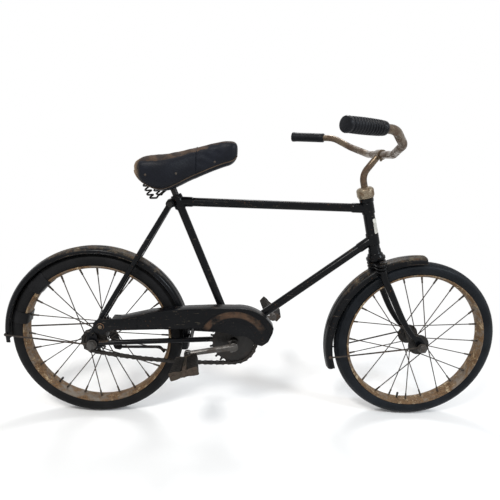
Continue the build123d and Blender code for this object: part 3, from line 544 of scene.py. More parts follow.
def leather(name, colour):
    """Dark pad cover, rubbed brown on top and tan along its rear edge, with fine grain."""
    f = Finish(name)
    clouds = f.noise(16, 7, 0.68, 0.3)
    patches = f.noise(48, 6, 0.7, 0.5)
    grain = f.cells(620)
    creases = f.noise(90, 8, 0.75, 1.2, (1, 0.5, 1))
    up = f.between(f.upward(), 0.55, 0.9)
    x = f.axes()["X"]
    rear = f.between(x, -0.046, -0.061)
    dark = colour or tuple(settings().cover)
    base = f.mix(f.between(clouds, 0.35, 0.7), dark, tuple(c * 1.6 for c in dark))
    brown = f.mix(f.between(patches, 0.4, 0.65), (0.02, 0.012, 0.008), (0.085, 0.05, 0.028))
    rub = f.between(f.sum((up, 0.34), (patches, 0.45)), 0.36, 0.5)
    base = f.mix(f.math("MULTIPLY", rub, 0.75), base, brown)
    tan_mask = f.math("MULTIPLY", rear, f.between(patches, 0.36, 0.5))
    base = f.mix(tan_mask, base, (0.2, 0.13, 0.07))
    f.set(base_color=base)
    f.set(roughness=f.blend(rub, f.math("ADD", 0.34, f.math("MULTIPLY", clouds, 0.2)), 0.68))
    f.matt(0.14)
    height = f.sum((grain, 0.35), (creases, 0.9))
    f.bump(height, 0.0006, 0.6)
    return f.material


PAINTS = {
    # finish: further wear and painted highlight on upper faces, roughness, colour of what shows through,
    # printed arc
    "frame_paint": (0.0, 0.2, (0.15, 0.1, 0.058), False),
    # the guards' shown-through colour is raised partly as painted highlight along their tops
    "guard_paint": (0.06, 0.26, (0.15, 0.125, 0.085), False),
    "case_paint": (0.0, 0.24, (0.1, 0.07, 0.045), True),
    "fork_paint": (0.0, 0.18, (0.15, 0.1, 0.058), False),
}
METALS = {
    # finish: colour, share of rust, roughness, grain, colour of the rust, metallic share, old paint
    "worn_chrome": (None, 0.5, 0.16, 60, (0.085, 0.046, 0.022), 1.0, None),
    "nut_chrome": ((0.3, 0.25, 0.18), 0.46, 0.24, 110, (0.13, 0.075, 0.035), 1.0, None),
    # near-black steel: its own dark colour, darkened further as painted shade for the chainring under the
    # chain case
    "dark_steel_and_shade": ((0.012, 0.011, 0.01), 0.4, 0.38, 120, (0.014, 0.009, 0.006), 0.5, None),
    "dull_steel": ((0.1, 0.088, 0.075), 0.5, 0.36, 90, (0.05, 0.03, 0.018), 1.0, None),
    "spoke_steel": ((0.05, 0.045, 0.04), 0.5, 0.4, 60, (0.05, 0.03, 0.018), 1.0, None),
    "spring_steel": ((0.02, 0.019, 0.018), 0.4, 0.42, 120, (0.02, 0.014, 0.01), 1.0, None),
    "oily_steel": ((0.02, 0.018, 0.016), 0.5, 0.4, 150, (0.018, 0.012, 0.008), 0.7, None),
    "crank_steel": ((0.1, 0.095, 0.09), 0.38, 0.34, 80, (0.05, 0.035, 0.025), 1.0, None),
    "pedal_steel": ((0.075, 0.062, 0.048), 0.5, 0.4, 110, (0.055, 0.034, 0.021), 1.0, None),
    "copper": ((0.4, 0.22, 0.12), 0.3, 0.35, 120, (0.12, 0.06, 0.03), 1.0, None),
    "rear_rim": ((0.15, 0.125, 0.1), 0.6, 0.5, 60, (0.15, 0.08, 0.032), 0.4, (0.36, 0.27, 0.16)),
    "front_rim": ((0.17, 0.14, 0.11), 0.62, 0.5, 60, (0.16, 0.088, 0.036), 0.4, (0.42, 0.33, 0.21)),
    "badge_plate": ((0.62, 0.6, 0.54), 0.22, 0.5, 130, (0.22, 0.17, 0.12), 0.3, None),
}
RUBBERS = {
    # finish: colour, share of dust, roughness, hub x of a ribbed tyre, colour of the dust
    "rear_rubber": ((0.003, 0.003, 0.0033), 0.16, 0.6, 0.0, (0.055, 0.048, 0.04)),
    "front_rubber": ((0.003, 0.0042, 0.006), 0.12, 0.42, WHEELBASE, (0.05, 0.05, 0.052)),
    "tape": ((0.003, 0.003, 0.0035), 0.1, 0.4, None, (0.17, 0.15, 0.13)),
    "grip_rubber": ((0.0035, 0.004, 0.0055), 0.12, 0.36, None, (0.04, 0.036, 0.032)),
    "tread_rubber": ((0.006, 0.0052, 0.0045), 0.5, 0.65, None, (0.06, 0.042, 0.028)),
}
COVERS = {
    # finish: colour
    "cover": None,
    "welt": (0.045, 0.032, 0.022),
}
FINISHES = {}


def finish(name):
    """The named finish, made when it is first asked for."""
    if name not in FINISHES:
        for table, maker in ((PAINTS, painted), (METALS, metal), (RUBBERS, rubber)):
            if name in table:
                FINISHES[name] = maker(name, *table[name])
        if name in COVERS:
            FINISHES[name] = leather(name, COVERS[name])
    return FINISHES[name]


# sizes and colours that a user would change
def colour_setting(name, description, default):
    """A colour that the panel shows."""
    shown = {"name": name, "description": description}
    return FloatVectorProperty(**shown, subtype="COLOR", default=default, min=0, max=1)


def number_setting(name, description, default, low, high, kind=FloatProperty, **more):
    """A number with its limits that the panel shows."""
    return kind(name=name, description=description, default=default, min=low, max=high, **more)


class ChildBicycleSettings(bpy.types.PropertyGroup):
    paint: colour_setting("Paint", "Colour of the enamel", (0.0034, 0.0037, 0.0045))
    rust: colour_setting("Rust", "Colour of rust and old dirt on the paint", (0.13, 0.062, 0.03))
    chrome: colour_setting("Plating", "Colour of the plated metal", (0.15, 0.115, 0.08))
    cover: colour_setting("Saddle cover", "Colour of the pad's cover", (0.0036, 0.0044, 0.0072))
    wear: number_setting("Wear", "How far the paint is rubbed through", 0.85, 0, 1)
    spoke: number_setting("Spoke", "Thickness of a spoke", 0.0022, 0.001, 0.004, unit="LENGTH")
    spring_turns: number_setting("Spring turns", "Turns of each saddle spring", 4.6, 1, 8)
    swell: number_setting("Saddle swell", "How far the pad may swell", 0.005, 0.0, 0.016, unit="LENGTH")
    rim_steps: number_setting("Wheel steps", "Steps round a tyre or rim", 120, 24, 256, IntProperty)


# wheels
TYRE_HALF = (
    # offset, radius: one half of the section, from the tread's middle to the bead
    (0.0, 181.9),
    (3.4, 181.7),
    (3.9, 180.4),
    (4.9, 180.4),
    (5.4, 181.2),
    (8.2, 180.6),
    (8.8, 179.1),
    (9.8, 179.0),
    (10.3, 179.8),
    (12.6, 178.4),
    (13.2, 176.9),
    (14.2, 176.4),
    (15.6, 175.6),
    (17.2, 172.6),
    (18.1, 168.8),
    (18.3, 165.0),
    (17.6, 161.6),
    (16.4, 159.2),
    (15.2, 157.6),
    (14.9, 156.2),
)
RIM_HALF = (
    # offset, radius: one half of the rim's outer face, from its bed to its rolled edge
    (0.0, 149.0),
    (5.4, 149.1),
    (10.6, 149.9),
    (13.6, 151.4),
    (14.6, 152.8),
    (15.6, 153.0),
    (16.4, 153.8),
    (16.5, 155.0),
    (16.0, 156.0),
    (15.2, 156.2),
)
RIM_BED = ((14.0, 155.6), (13.2, 153.9), (9.8, 151.6), (5.0, 150.8), (0.0, 150.6))
VALVE_TURNS = {"rear": 232, "front": 262}
VALVE = (
    # distance from the axle, radius
    (149.5, 0.0),
    (149.5, 2.8),
    (148, 2.8),
    (147.6, 1.9),
    (143, 1.9),
    (142.6, 2.4),
    (137, 2.4),
    (136, 1.8),
    (136, 0.0),
)
TAPE_HALF = (
    # offset, radius: one half of the outside of the tape round the rear tyre
    (-17.2, 151.0),
    (-18.9, 156.0),
    (-19.3, 165.0),
    (-18.0, 174.0),
    (-13.4, 179.6),
    (-5.0, 182.6),
)
TAPE_BED = ((13.0, 148.2), (5.0, 147.9), (-5.0, 147.9), (-13.0, 148.2))
TAPES = (
    # start and end in degrees: tape wound round the rear tyre and its rim
    (128.5, 142.5),
    (161.5, 170.5),
)


def both_halves(half):
    """A whole section from the table of its one half."""
    return [(-y, r) for y, r in reversed(half)] + [row for row in half[1:]]


class BICYCLE_OT_tyres(bpy.types.Operator):
    """Both tyres with their tread ribs, and the tape wound round the rear one"""

    bl_idname = "bicycle.tyres"
    bl_label = "Tyres"

    def execute(self, context):
        steps = settings().rim_steps
        for name, x in WHEELS:
            bm = about_axle(both_halves(TYRE_HALF), x, 0, steps)
            nodes = (f"{name}_tyre",)
            shown = finish(f"{name}_rubber")
            place(bm, f"{name}_tyre_dressed", shown, f"{name}_wheel", nodes, "tyre_rubber", 60)
        bm = bmesh.new()
        around = [*TAPE_HALF, *((-y, r) for y, r in reversed(TAPE_HALF)), *TAPE_BED]
        for start, end in TAPES:
            absorb(bm, about_axle(around, 0, 0, 8, start, end))
        bevelled(bm, 0.0006, 2, 50)
        place(bm, "tyre_tape", finish("tape"), "rear_wheel", (), "black_rubber")
        return {"FINISHED"}


class BICYCLE_OT_rims(bpy.types.Operator):
    """Both rims with rolled edges, and their valves"""

    bl_idname = "bicycle.rims"
    bl_label = "Rims and valves"

    def execute(self, context):
        steps = settings().rim_steps
        for name, x in WHEELS:
            section = both_halves(RIM_HALF) + list(RIM_BED) + [(-y, r) for y, r in reversed(RIM_BED[:-1])]
            bm = about_axle(section, x, 0, steps)
            rim = f"{name}_rim"
            place(bm, f"{rim}_dressed", finish(rim), f"{name}_wheel", (rim,), "rusty_rim", 50)
            turn = radians(VALVE_TURNS[name])
            out = Vector((cos(turn), 0, sin(turn)))
            bm = turned(VALVE, at(x, 0, 0), out, 16, closed=False)
            place(bm, f"{name}_valve", finish("dark_steel_and_shade"), f"{name}_wheel", (), "dull_steel")
        return {"FINISHED"}


HUBS = (
    # name, hub x, flange offset, then the section of offset and radius
    (
        "rear",
        0.0,
        26.0,
        (
            (-29.0, 4.9),
            (-29.0, 8.4),
            (-28.2, 8.75),
            (-27.4, 12.0),
            (-27.3, 22.2),
            (-26.8, 23.0),
            (-25.3, 23.0),
            (-24.7, 22.2),
            (-24.5, 19.4),
            (-23.2, 18.2),
            (-8.0, 17.6),
            (-7.0, 18.2),
            (7.0, 18.2),
            (8.0, 17.6),
            (23.2, 18.2),
            (24.5, 19.4),
            (24.7, 22.2),
            (25.3, 23.0),
            (26.8, 23.0),
            (27.3, 22.2),
            (27.4, 13.0),
            (29.0, 11.6),
            (33.2, 11.0),
            (34.0, 10.0),
            (34.0, 4.9),
        ),
    ),
    (
        "front",
        WHEELBASE,
        29.0,
        (
            (-33.0, 4.9),
            (-33.0, 8.2),
            (-32.2, 8.75),
            (-30.4, 9.2),
            (-30.3, 22.2),
            (-29.8, 23.0),
            (-28.3, 23.0),
            (-27.8, 22.2),
            (-27.6, 13.0),
            (-25.6, 10.6),
            (-22.0, 9.9),
            (-4.0, 9.3),
            (-3.6, 10.2),
            (3.6, 10.2),
            (4.0, 9.3),
            (22.0, 9.9),
            (25.6, 10.6),
            (27.6, 13.0),
            (27.8, 22.2),
            (28.3, 23.0),
            (29.8, 23.0),
            (30.3, 22.2),
            (30.4, 9.2),
            (32.2, 8.75),
            (33.0, 8.2),
            (33.0, 4.9),
        ),
    ),
)


SPOKES = 24
SPOKE_LEAN = radians(60)
LOST_SPOKES = (("front", 14),)


class BICYCLE_OT_hubs(bpy.types.Operator):
    """Both hubs, their crossed spokes and the spokes' nipples"""

    bl_idname = "bicycle.hubs"
    bl_label = "Hubs and spokes"

    def execute(self, context):
        thick = settings().spoke * 1000 / 2
        for name, x, out, section in HUBS:
            bm = about_axle(section, x, 0, 48)
            nodes = (f"{name}_hub",)
            place(bm, f"{name}_hub_dressed", finish("dark_steel_and_shade"), f"{name}_wheel", nodes, "dull_steel")
            wires = bmesh.new()
            nipples = bmesh.new()
            for k in range(SPOKES):
                if (name, k) in LOST_SPOKES:
                    continue
                left = 1 if k % 2 else -1
                outside = 1 if k % 4 < 2 else -1
                rim_turn = 2 * pi * k / SPOKES
                hub_turn = rim_turn + outside * SPOKE_LEAN

                def spot(reach, turn, y):
                    """A point of this spoke round its hub."""
                    return at(x + reach * cos(turn), left * y, reach * sin(turn))

                foot = spot(19.6, hub_turn, out + 2.45 * outside)
                through = spot(19.5, hub_turn, out - 2.0 * outside)
                tip = spot(148.8, rim_turn, 3)
                route = [through, foot, foot.lerp(tip, 0.02), foot.lerp(tip, 0.5), tip]
                absorb(wires, pipe(rounded(route, 2.0, 3), thick, 8))
                near = tip.lerp(foot, 0.105)
                grip = tip.lerp(foot, 0.05)
                path = [near, near.lerp(grip, 0.1), grip, grip.lerp(tip, 0.1), tip]
                absorb(nipples, pipe(path, [1.5, 1.95, 1.95, 2.25, 2.25], 8))
            nodes = (f"{name}_spokes",)
            steel = finish("spoke_steel")
            place(wires, f"{name}_spokes_dressed", steel, f"{name}_wheel", nodes, "dull_steel")
            place(nipples, f"{name}_nipples", finish("dull_steel"), f"{name}_wheel", (), "dull_steel")
        return {"FINISHED"}


AXLE_NUTS = (
    # axle, offset of the middle, radius, thickness, sides
    ("rear_axle", -57.2, 10.4, 1.2, 32),
    ("rear_axle", -61.2, 9.4, 6.6, 6),
    ("rear_axle", 57.2, 10.4, 1.2, 32),
    ("rear_axle", 61.2, 9.4, 6.6, 6),
    ("rear_axle", 70.4, 9.4, 5.6, 6),
    ("front_axle", -48.2, 10.2, 1.2, 32),
    ("front_axle", -52.2, 9.4, 6.6, 6),
    ("front_axle", 48.2, 10.2, 1.2, 32),
    ("front_axle", 52.2, 9.4, 6.6, 6),
)
AXLES = (
    # node, hub x, right and left end, right and left cone from the hub's end to the plate, body
    ("rear_axle", 0.0, -77.4, 75.4, (-29.3, -47.0), (34.3, 47.0), "frame"),
    ("front_axle", WHEELBASE, -57.4, 57.4, (-33.3, -38.0), (33.3, 38.0), "steering"),
)


class BICYCLE_OT_axles(bpy.types.Operator):
    """Threaded axles with cones, washers and nuts"""

    bl_idname = "bicycle.axles"
    bl_label = "Axles and nuts"

    def execute(self, context):
        for node, x, right, left, right_cone, left_cone, body in AXLES:
            bm = threaded(x, 0, 4.7, right, left, 1.5)
            for near, far in (right_cone, left_cone):
                step = 1 if far > near else -1
                profile = [(near, 0.0), (near, 6.4), (near + step * 1.2, 8.2), (far, 8.2), (far, 0.0)]
                absorb(bm, about_axle(profile, x, 0, 32))
            for axle, y, radius, thick, sides in AXLE_NUTS:
                if axle == node:
                    absorb(bm, nut(at(x, y, 0), ACROSS, radius, thick, 0.4, sides))
            place(bm, f"{node}_dressed", finish("crank_steel"), body, (node,), "dull_steel")
        return {"FINISHED"}


# drive
PITCH = 12.7
CHAIN_LINKS = 64
CHAINRING_TEETH = 24
SPROCKET_TEETH = 12
CHAIN_SAG = 8.0
BRACKET_RISE = 3.0
LINK_PLATE_T = 0.85
OUTER_LINK_Y = 2.8
INNER_LINK_Y = 1.75


def chain_pins():
    """Places of the pins: wrapped round both toothed wheels, straight above and sagging below."""
    links = CHAIN_LINKS
    ring = CHAINRING_TEETH * PITCH / (2 * pi)
    sprocket = SPROCKET_TEETH * PITCH / (2 * pi)
    step = ring - sprocket
    lead = asin(step / (links * PITCH / 2 - pi * (ring + sprocket) / 2))
    run = (links * PITCH - pi * (ring + sprocket) - 2 * lead * step) / 2
    centres = hypot(run, step)
    bx, bz = (centres**2 - BRACKET_RISE**2) ** 0.5, BRACKET_RISE
    rise = atan2(bz, bx)
    top = rise + pi / 2 + asin(step / centres)
    sag = centres**2 / (8 * CHAIN_SAG)
    a, b = sag - ring, sag - sprocket
    low_ring = rise - acos((centres**2 + a * a - b * b) / (2 * centres * a))
    sx, sz = bx - a * cos(low_ring), bz - a * sin(low_ring)
    low_sprocket = atan2(-sz, -sx)
    loop = (
        ring * ((top - low_ring) % (2 * pi)),
        sag * ((low_ring - low_sprocket) % (2 * pi)),
        sprocket * ((low_sprocket - top) % (2 * pi)),
        run,
    )
    link = sum(loop) / links
    pins = []
    for i in range(links):
        s = i * link
        if s < loop[0]:
            turn = top - s / ring
            pins.append((bx + ring * cos(turn), bz + ring * sin(turn)))
            continue
        s -= loop[0]
        if s < loop[1]:
            turn = low_ring - s / sag
            pins.append((sx + sag * cos(turn), sz + sag * sin(turn)))
            continue
        s -= loop[1]
        if s < loop[2]:
            turn = low_sprocket - s / sprocket
            pins.append((sprocket * cos(turn), sprocket * sin(turn)))
            continue
        share = (s - loop[2]) / run
        x0, z0 = sprocket * cos(top), sprocket * sin(top)
        x1, z1 = bx + ring * cos(top), bz + ring * sin(top)
        pins.append((x0 + share * (x1 - x0), z0 + share * (z1 - z0)))
    return pins


def link_outline(a, b, end_r, waist):
    """A waisted plate round two pins."""
    turn = atan2(b[1] - a[1], b[0] - a[0])
    points = []
    for centre, start in ((b, turn - 1.15), (a, turn + pi - 1.15)):
        for i in range(5):
            angle = start + i * 2.3 / 4
            points.append((centre[0] + end_r * cos(angle), centre[1] + end_r * sin(angle)))
        middle = ((a[0] + b[0]) / 2, (a[1] + b[1]) / 2)
        side = turn + (pi / 2 if centre is b else -pi / 2)
        points.append((middle[0] + waist * cos(side), middle[1] + waist * sin(side)))
    return points


TOOTHED = (
    # node, body, finish, slot
    # the chainring's near-black finish is partly painted shade under the chain case
    ("chainring", "crank", "dark_steel_and_shade", "dull_steel"),
    ("rear_sprocket", "frame", "oily_steel", "oily_steel"),
)


class BICYCLE_OT_chain(bpy.types.Operator):
    """Chain of outer and inner links on its two toothed wheels"""

    bl_idname = "bicycle.chain"
    bl_label = "Chain and toothed wheels"

    def execute(self, context):
        pins = chain_pins()
        bm = bmesh.new()
        for i, pin in enumerate(pins):
            after = pins[(i + 1) % len(pins)]
            outline = link_outline(pin, after, 4.1, 2.8)
            inner = INNER_LINK_Y if i % 2 else OUTER_LINK_Y
            for y in (CHAIN_Y + inner, CHAIN_Y - inner - LINK_PLATE_T):
                absorb(bm, slab([at(x, y, z) for x, z in outline], ACROSS * LINK_PLATE_T / 1000))
            for radius, half in ((3.8, 1.7), (1.7, 3.7)):
                matrix = Matrix.Translation(at(pin[0], CHAIN_Y, pin[1])) @ Matrix.Rotation(pi / 2, 4, "X")
                bmesh.ops.create_cone(
                    bm,
                    cap_ends=True,
                    segments=10,
                    radius1=radius / 1000,
                    radius2=radius / 1000,
                    depth=2 * half / 1000,
                    matrix=matrix,
                )
        bmesh.ops.recalc_face_normals(bm, faces=bm.faces)
        place(bm, "chain_dressed", finish("oily_steel"), "frame", ("chain",), "oily_steel")
        for node, body, steel, slot in TOOTHED:
            place(dressed(node, 0.0004), f"{node}_dressed", finish(steel), body, (node,), slot)
        return {"FINISHED"}


CRANK_TURN = radians(190.4)
CRANK_LONG = 96.0
CRANKS = (
    # name, side, direction
    ("right", -1, 1),
    ("left", 1, -1),
)


CRANK_ARM = (
    # distance from the spindle, half width, half thickness
    (0, 6.4, 3.9),
    (14, 6.2, 3.9),
    (48, 5.2, 3.6),
    (82, 4.8, 3.6),
    (CRANK_LONG, 5.2, 3.8),
)


def pedal_place(way):
    """Forward and upward place of a pedal's spindle."""
    reach = way * CRANK_LONG
    return BRACKET[0] + reach * cos(CRANK_TURN), BRACKET[1] + reach * sin(CRANK_TURN)


class BICYCLE_OT_cranks(bpy.types.Operator):
    """Cranks with their cotter pins and the spindle between them"""

    bl_idname = "bicycle.cranks"
    bl_label = "Cranks"

    def execute(self, context):
        for name, left, way in CRANKS:
            px, pz = pedal_place(way)
            turn = atan2(pz - BRACKET[1], px - BRACKET[0])
            bm = bmesh.new()
            rows = flowing(CRANK_ARM, 4)
            before = None
            heading = Vector((cos(turn), 0, sin(turn)))
            third = heading.cross(ACROSS)
            for i, (d, half_w, half_t) in enumerate(rows):
                point = at(BRACKET[0] + d * cos(turn), left * 63, BRACKET[1] + d * sin(turn))
                section = Matrix((ACROSS * half_t / 5, third * half_w / 5, heading)).transposed().to_4x4()
                matrix = Matrix.Translation(point) @ section
                ring = bmesh.ops.create_circle(
                    bm,
                    cap_ends=i in (0, len(rows) - 1),
                    segments=16,
                    radius=0.005,
                    matrix=matrix,
                )["verts"]
                for v in ring:
                    local = matrix.inverted() @ v.co
                    share = max(abs(local.x), abs(local.y)) / 0.005
                    if 0.7 < share < 0.99:
                        fuller = 1 + 0.22 * (1 - abs(share - 0.92) / 0.3)
                        local.x *= fuller
                        local.y *= fuller
                    v.co = matrix @ local
                edges = ring_edges(ring)
                if before:
                    bmesh.ops.bridge_loops(bm, edges=before + edges)
                before = edges
            tidy(bm)
            boss = on_side(left, ((67, 0), (67, 8.6), (66, 9.5), (53, 9.5), (52, 8.8), (52, 0)))
            absorb(bm, about_axle(boss, *BRACKET, 32))
            end = on_side(left, ((67, 0), (67, 7.0), (66.2, 8.0), (59.6, 8.0), (59, 7.4), (59, 0)))
            absorb(bm, about_axle(end, px, pz, 28))
            square = Vector((-sin(turn), 0, cos(turn)))
            centre = at(BRACKET[0] + 6 * cos(turn), left * 59.5, BRACKET[1] + 6 * sin(turn))
            absorb(bm, pipe([centre - square * 0.0135, centre + square * 0.0125], [2.6, 3.4], 14))
            absorb(bm, nut(centre - square * 0.0128, square, 4.6, 3.2))
            if name == "left":
                absorb(bm, about_axle([(-52, 0), (-52, 6.4), (66, 6.4), (66, 0)], *BRACKET, 28))
            nodes = (f"{name}_crank",)
            place(bm, f"{name}_crank_dressed", finish("crank_steel"), "crank", nodes, "dull_steel")
        return {"FINISHED"}


PEDAL_TILT = {"right": 16.0, "left": -38.0}
PEDAL_SPINDLE = (
    # offset, radius
    (58.5, 0),
    (58.5, 3.9),
    (67, 3.9),
    (67.2, 6.6),
    (70.5, 6.9),
    (77.5, 6.6),
    (78, 4),
    (140, 3.9),
    (140, 0),
)
PEDAL_BARREL = ((84, 4.3), (84, 6.4), (88, 6.4), (89, 5.6), (140, 5.6), (144, 6.4), (148, 6.4), (148, 4.3))
PEDAL_CAP = ((147, 0), (147, 5.0), (148, 5.4), (149.5, 5.2), (150.6, 4.0), (150.9, 0))
TREAD_RIBS = 9
TREAD_WIDE = 57.4


class BICYCLE_OT_pedals(bpy.types.Operator):
    """Pedals with end plates, ribbed rubber treads and their spindles"""

    bl_idname = "bicycle.pedals"
    bl_label = "Pedals"

    def execute(self, context):
        for name, left, way in CRANKS:
            px, pz = pedal_place(way)
            tilt = radians(PEDAL_TILT[name])

            def turned_by(u, v):
                """Forward and upward place of a point of the tilted pedal."""
                return px + u * cos(tilt) - v * sin(tilt), pz + u * sin(tilt) + v * cos(tilt)

            bm = about_axle(on_side(left, PEDAL_SPINDLE), px, pz, 24)
            nodes = (f"{name}_pedal_spindle",)
            place(bm, f"{name}_pedal_spindle_dressed", finish("crank_steel"), "crank", nodes, "dull_steel")
            bm = bmesh.new()
            for y, half in ((84.0, 22.0), (144.5, 28.0)):
                shape = [(-half, -7), (-half + 2, -8.6), (-half + 12, -8.2), (-8, -6.4)]
                shape += [(-u, v) for u, v in reversed(shape)]
                shape += [(-u, -v) for u, v in shape]
                outline = [turned_by(u, v) for u, v in shape]
                y_low = left * y if left > 0 else left * y - 2.5
                absorb(bm, plate(outline, y_low, 2.5, 0.0005))
            for profile in (PEDAL_BARREL, PEDAL_CAP):
                absorb(bm, about_axle(on_side(left, profile), px, pz, 24))
            for end in (-1, 1):
                bolt_x, bolt_z = turned_by(end * 20.5, 0)
                absorb(bm, nut(at(bolt_x, left * 147.7, bolt_z), ACROSS, 3.2, 1.6, 0.3, 6))
            nodes = (f"{name}_pedal_cage",)
            place(bm, f"{name}_pedal_frame", finish("pedal_steel"), f"{name}_pedal", nodes, "dull_steel")
            bm = bmesh.new()
            rib = TREAD_WIDE / TREAD_RIBS
            for end in (-1, 1):
                for i in range(TREAD_RIBS):
                    share = (i + 0.5) / TREAD_RIBS
                    y = 86.8 + TREAD_WIDE * share
                    middle = 15 + 6 * share
                    shape = [(-14.0, -5.8), (-6.0, -6.4), (-5.2, -8.8), (5.2, -8.8), (6.4, -7.4)]
                    shape += [(u, -v) for u, v in reversed(shape)]
                    outline = [turned_by(end * (middle + u), v) for u, v in shape]
                    wide = rib - 1.5
                    absorb(bm, plate(outline, left * y - wide / 2, wide, 0.0006, 1))
                    if i < TREAD_RIBS - 1:
                        middle += 3 / TREAD_RIBS
                        outline = [turned_by(end * (middle + u * 0.98), v * 0.93) for u, v in shape]
                        absorb(bm, plate(outline, left * (y + rib / 2) - 1.4, 2.8, 0.0003, 1))
            nodes = (f"{name}_pedal_treads",)
            tread = finish("tread_rubber")
            place(bm, f"{name}_pedal_rubbers", tread, f"{name}_pedal", nodes, "black_rubber")
        return {"FINISHED"}


CASE_TOP = (
    # share of the way from the axle to the bracket, height above the chain's upper run
    (0.082, 29.5),
    (0.2, 26.5),
    (0.3, 30.7),
    (0.41, 36.0),
    (0.55, 38.0),
    (0.69, 38.0),
    (0.865, 36.0),
)
CASE_LOW = (
    # share of the way from the axle to the bracket, height, from the front to the rear
    (1.273, 30.0),
    (1.247, 12.0),
    (1.205, 3.0),
    (1.161, 6.0),
    (1.116, 19.0),
    (1.085, 24.0),
    (0.99, 25.0),
    (0.952, 31.0),
    (0.718, 39.0),
    (0.127, 31.0),
    (0.082, 22.0),
)


UPPER_RUN = 24.255
NOSE_R = 83.61


def case_edge(inset):
    """The case's edge seen from the side: top, nose and lower edge."""
    bx, bz = BRACKET
    top = [(share * bx, UPPER_RUN + share * (bz + UPPER_RUN) + up - inset) for share, up in CASE_TOP]
    nose = []
    for i in range(17):
        turn = radians(96 - i * 65.7 / 16)
        reach = NOSE_R - inset
        nose.append((bx + 10 + reach * cos(turn), bz - 2 + reach * sin(turn)))
    low = [(share * bx, up + inset) for share, up in CASE_LOW]
    return top, nose, low


class BICYCLE_OT_chain_case(bpy.types.Operator):
    """Half chain case with its rolled edge, raised round form, clip band and bolt"""

    bl_idname = "bicycle.chain_case"
    bl_label = "Chain case"

    def execute(self, context):
        bm = dressed("chain_case", 0.0007, 35)
        top, nose, low = case_edge(1.0)
        path = [at(x, CASE_Y + 0.1, z) for x, z in top + nose]
        absorb(bm, pipe(rounded(path, 40, 4), 1.15, 8))
        path = [at(x, CASE_Y + 0.1, z) for x, z in [nose[-1]] + low]
        absorb(bm, pipe(rounded(path, 6, 4), 1.15, 8))
        for radius, start, end in ((72.5, 24, 152), (52.0, 22, 148)):
            arc = []
            for i in range(25):
                turn = radians(start + (end - start) * i / 24)
                x, z = BRACKET[0] + radius * cos(turn), BRACKET[1] + radius * sin(turn)
                arc.append(at(x, CASE_Y - 1.2, z))
            absorb(bm, pipe(arc, [0.3] + [1.0] * 23 + [0.3], 8))
        place(bm, "chain_case_dressed", finish("case_paint"), "frame", ("chain_case",), "black_paint")
        band = plate([(79, 36.0), (92, 36.8), (92, 60.4), (79, 58.2)], CASE_Y - 1.1, 1.0, 0.0003)
        place(band, "case_band", finish("guard_paint"), "frame", (), "black_paint")
        washer = about_axle([(-57.6, 0), (-57.6, 6.6), (-57.0, 7.4), (-56.0, 7.4), (-56.0, 0)], 18, 39, 28)
        place(washer, "case_washer", finish("copper"), "frame", (), "dull_steel")
        bolt = nut(at(18, -58.0, 39), ACROSS, 4.2, 1.2, 0.2, 20)
        place(bolt, "case_bolt", finish("nut_chrome"), "frame", (), "dull_steel")
        return {"FINISHED"}


# mudguards
FRONT_GUARD_X = 695.0
FRONT_GUARD_Z = -5.0
FRONT_GUARD_R = 200.0
GUARDS = (
    # name, centre x and z, radius, depth of the sides, start and end in degrees, body
    ("rear_guard", 0.0, 0.0, 196.0, 12.8, -8.0, 185.0, "frame"),
    ("front_guard", FRONT_GUARD_X, FRONT_GUARD_Z, FRONT_GUARD_R, 15.4, 88.0, 199.0, "steering"),
)
GUARD_HALF = (
    # offset, height against the crown of the guard
    (0, 0.0),
    (1.6, 0.0),
    (2.4, -0.7),
    (7.0, -0.8),
    (12.4, -1.6),
    (16.2, -3.4),
    (18.6, -5.6),
    (19.8, -7.6),
)


class BICYCLE_OT_mudguards(bpy.types.Operator):
    """Mudguards with rolled edges and a raised middle line"""

    bl_idname = "bicycle.mudguards"
    bl_label = "Mudguards"

    def execute(self, context):
        for name, x, z, radius, deep, start, end, body in GUARDS:
            half = [*GUARD_HALF, (20.1, -deep)]
            outer = both_halves([(y, radius + drop) for y, drop in half])
            inner = [(y * 0.95, r - 1.1) for y, r in reversed(outer)]
            steps = ceil((end - start) / 2.2)
            bm = about_axle(outer + inner, x, z, steps, start, end)
            for left in (-1, 1):
                bead = []
                for i in range(steps + 1):
                    turn = radians(start + (end - start) * i / steps)
                    reach = radius - deep + 0.6
                    bead.append(at(x + reach * cos(turn), left * 19.8, z + reach * sin(turn)))
                absorb(bm, pipe(bead, 1.05, 8))
            place(bm, f"{name}_dressed", finish("guard_paint"), body, (name,), "black_paint", 45)
        return {"FINISHED"}


GUARD_WIRES = (
    # node, hub x, end height, reach, offset at the axle, body
    ("rear_guard_stays", 0.0, 2.0, 190.0, 54.8, "frame"),
    ("front_guard_stays", WHEELBASE, -38.0, 193.0, 44.8, "steering"),
)


class BICYCLE_OT_guard_wires(bpy.types.Operator):
    """Wires that hold the mudguards, with their eyes and end bolts"""

    bl_idname = "bicycle.guard_wires"
    bl_label = "Mudguard wires"

    def execute(self, context):
        for node, x, end_z, reach, out, body in GUARD_WIRES:
            bm = bmesh.new()
            for left in (-1, 1):
                low, high = out - 1.6, out + 1.6
                ring = on_side(left, ((low, 4.8), (low, 8.4), (high, 8.4), (high, 4.8)))
                absorb(bm, about_axle(ring, x, 0, 28))
                route = [
                    at(x - 6.6, left * out, 0),
                    at(x - 24, left * (out - 0.5), end_z * 0.1),
                    at(x - reach * 0.9, left * 26.4, end_z * 0.9),
                    at(x - reach + 3, left * 22.4, end_z),
                ]
                absorb(bm, pipe(rounded(route, 16, 5), 1.75, 10))
                eye = at(x - reach + 1, left * 21.8, end_z)
                absorb(bm, nut(eye, ACROSS, 3.8, 1.2, 0.2, 20))
                absorb(bm, nut(eye + ACROSS * left * 0.0012, ACROSS, 2.6, 1.6, 0.2, 6))
            place(bm, f"{node}_dressed", finish("spoke_steel"), body, (node,), "dull_steel")
        return {"FINISHED"}


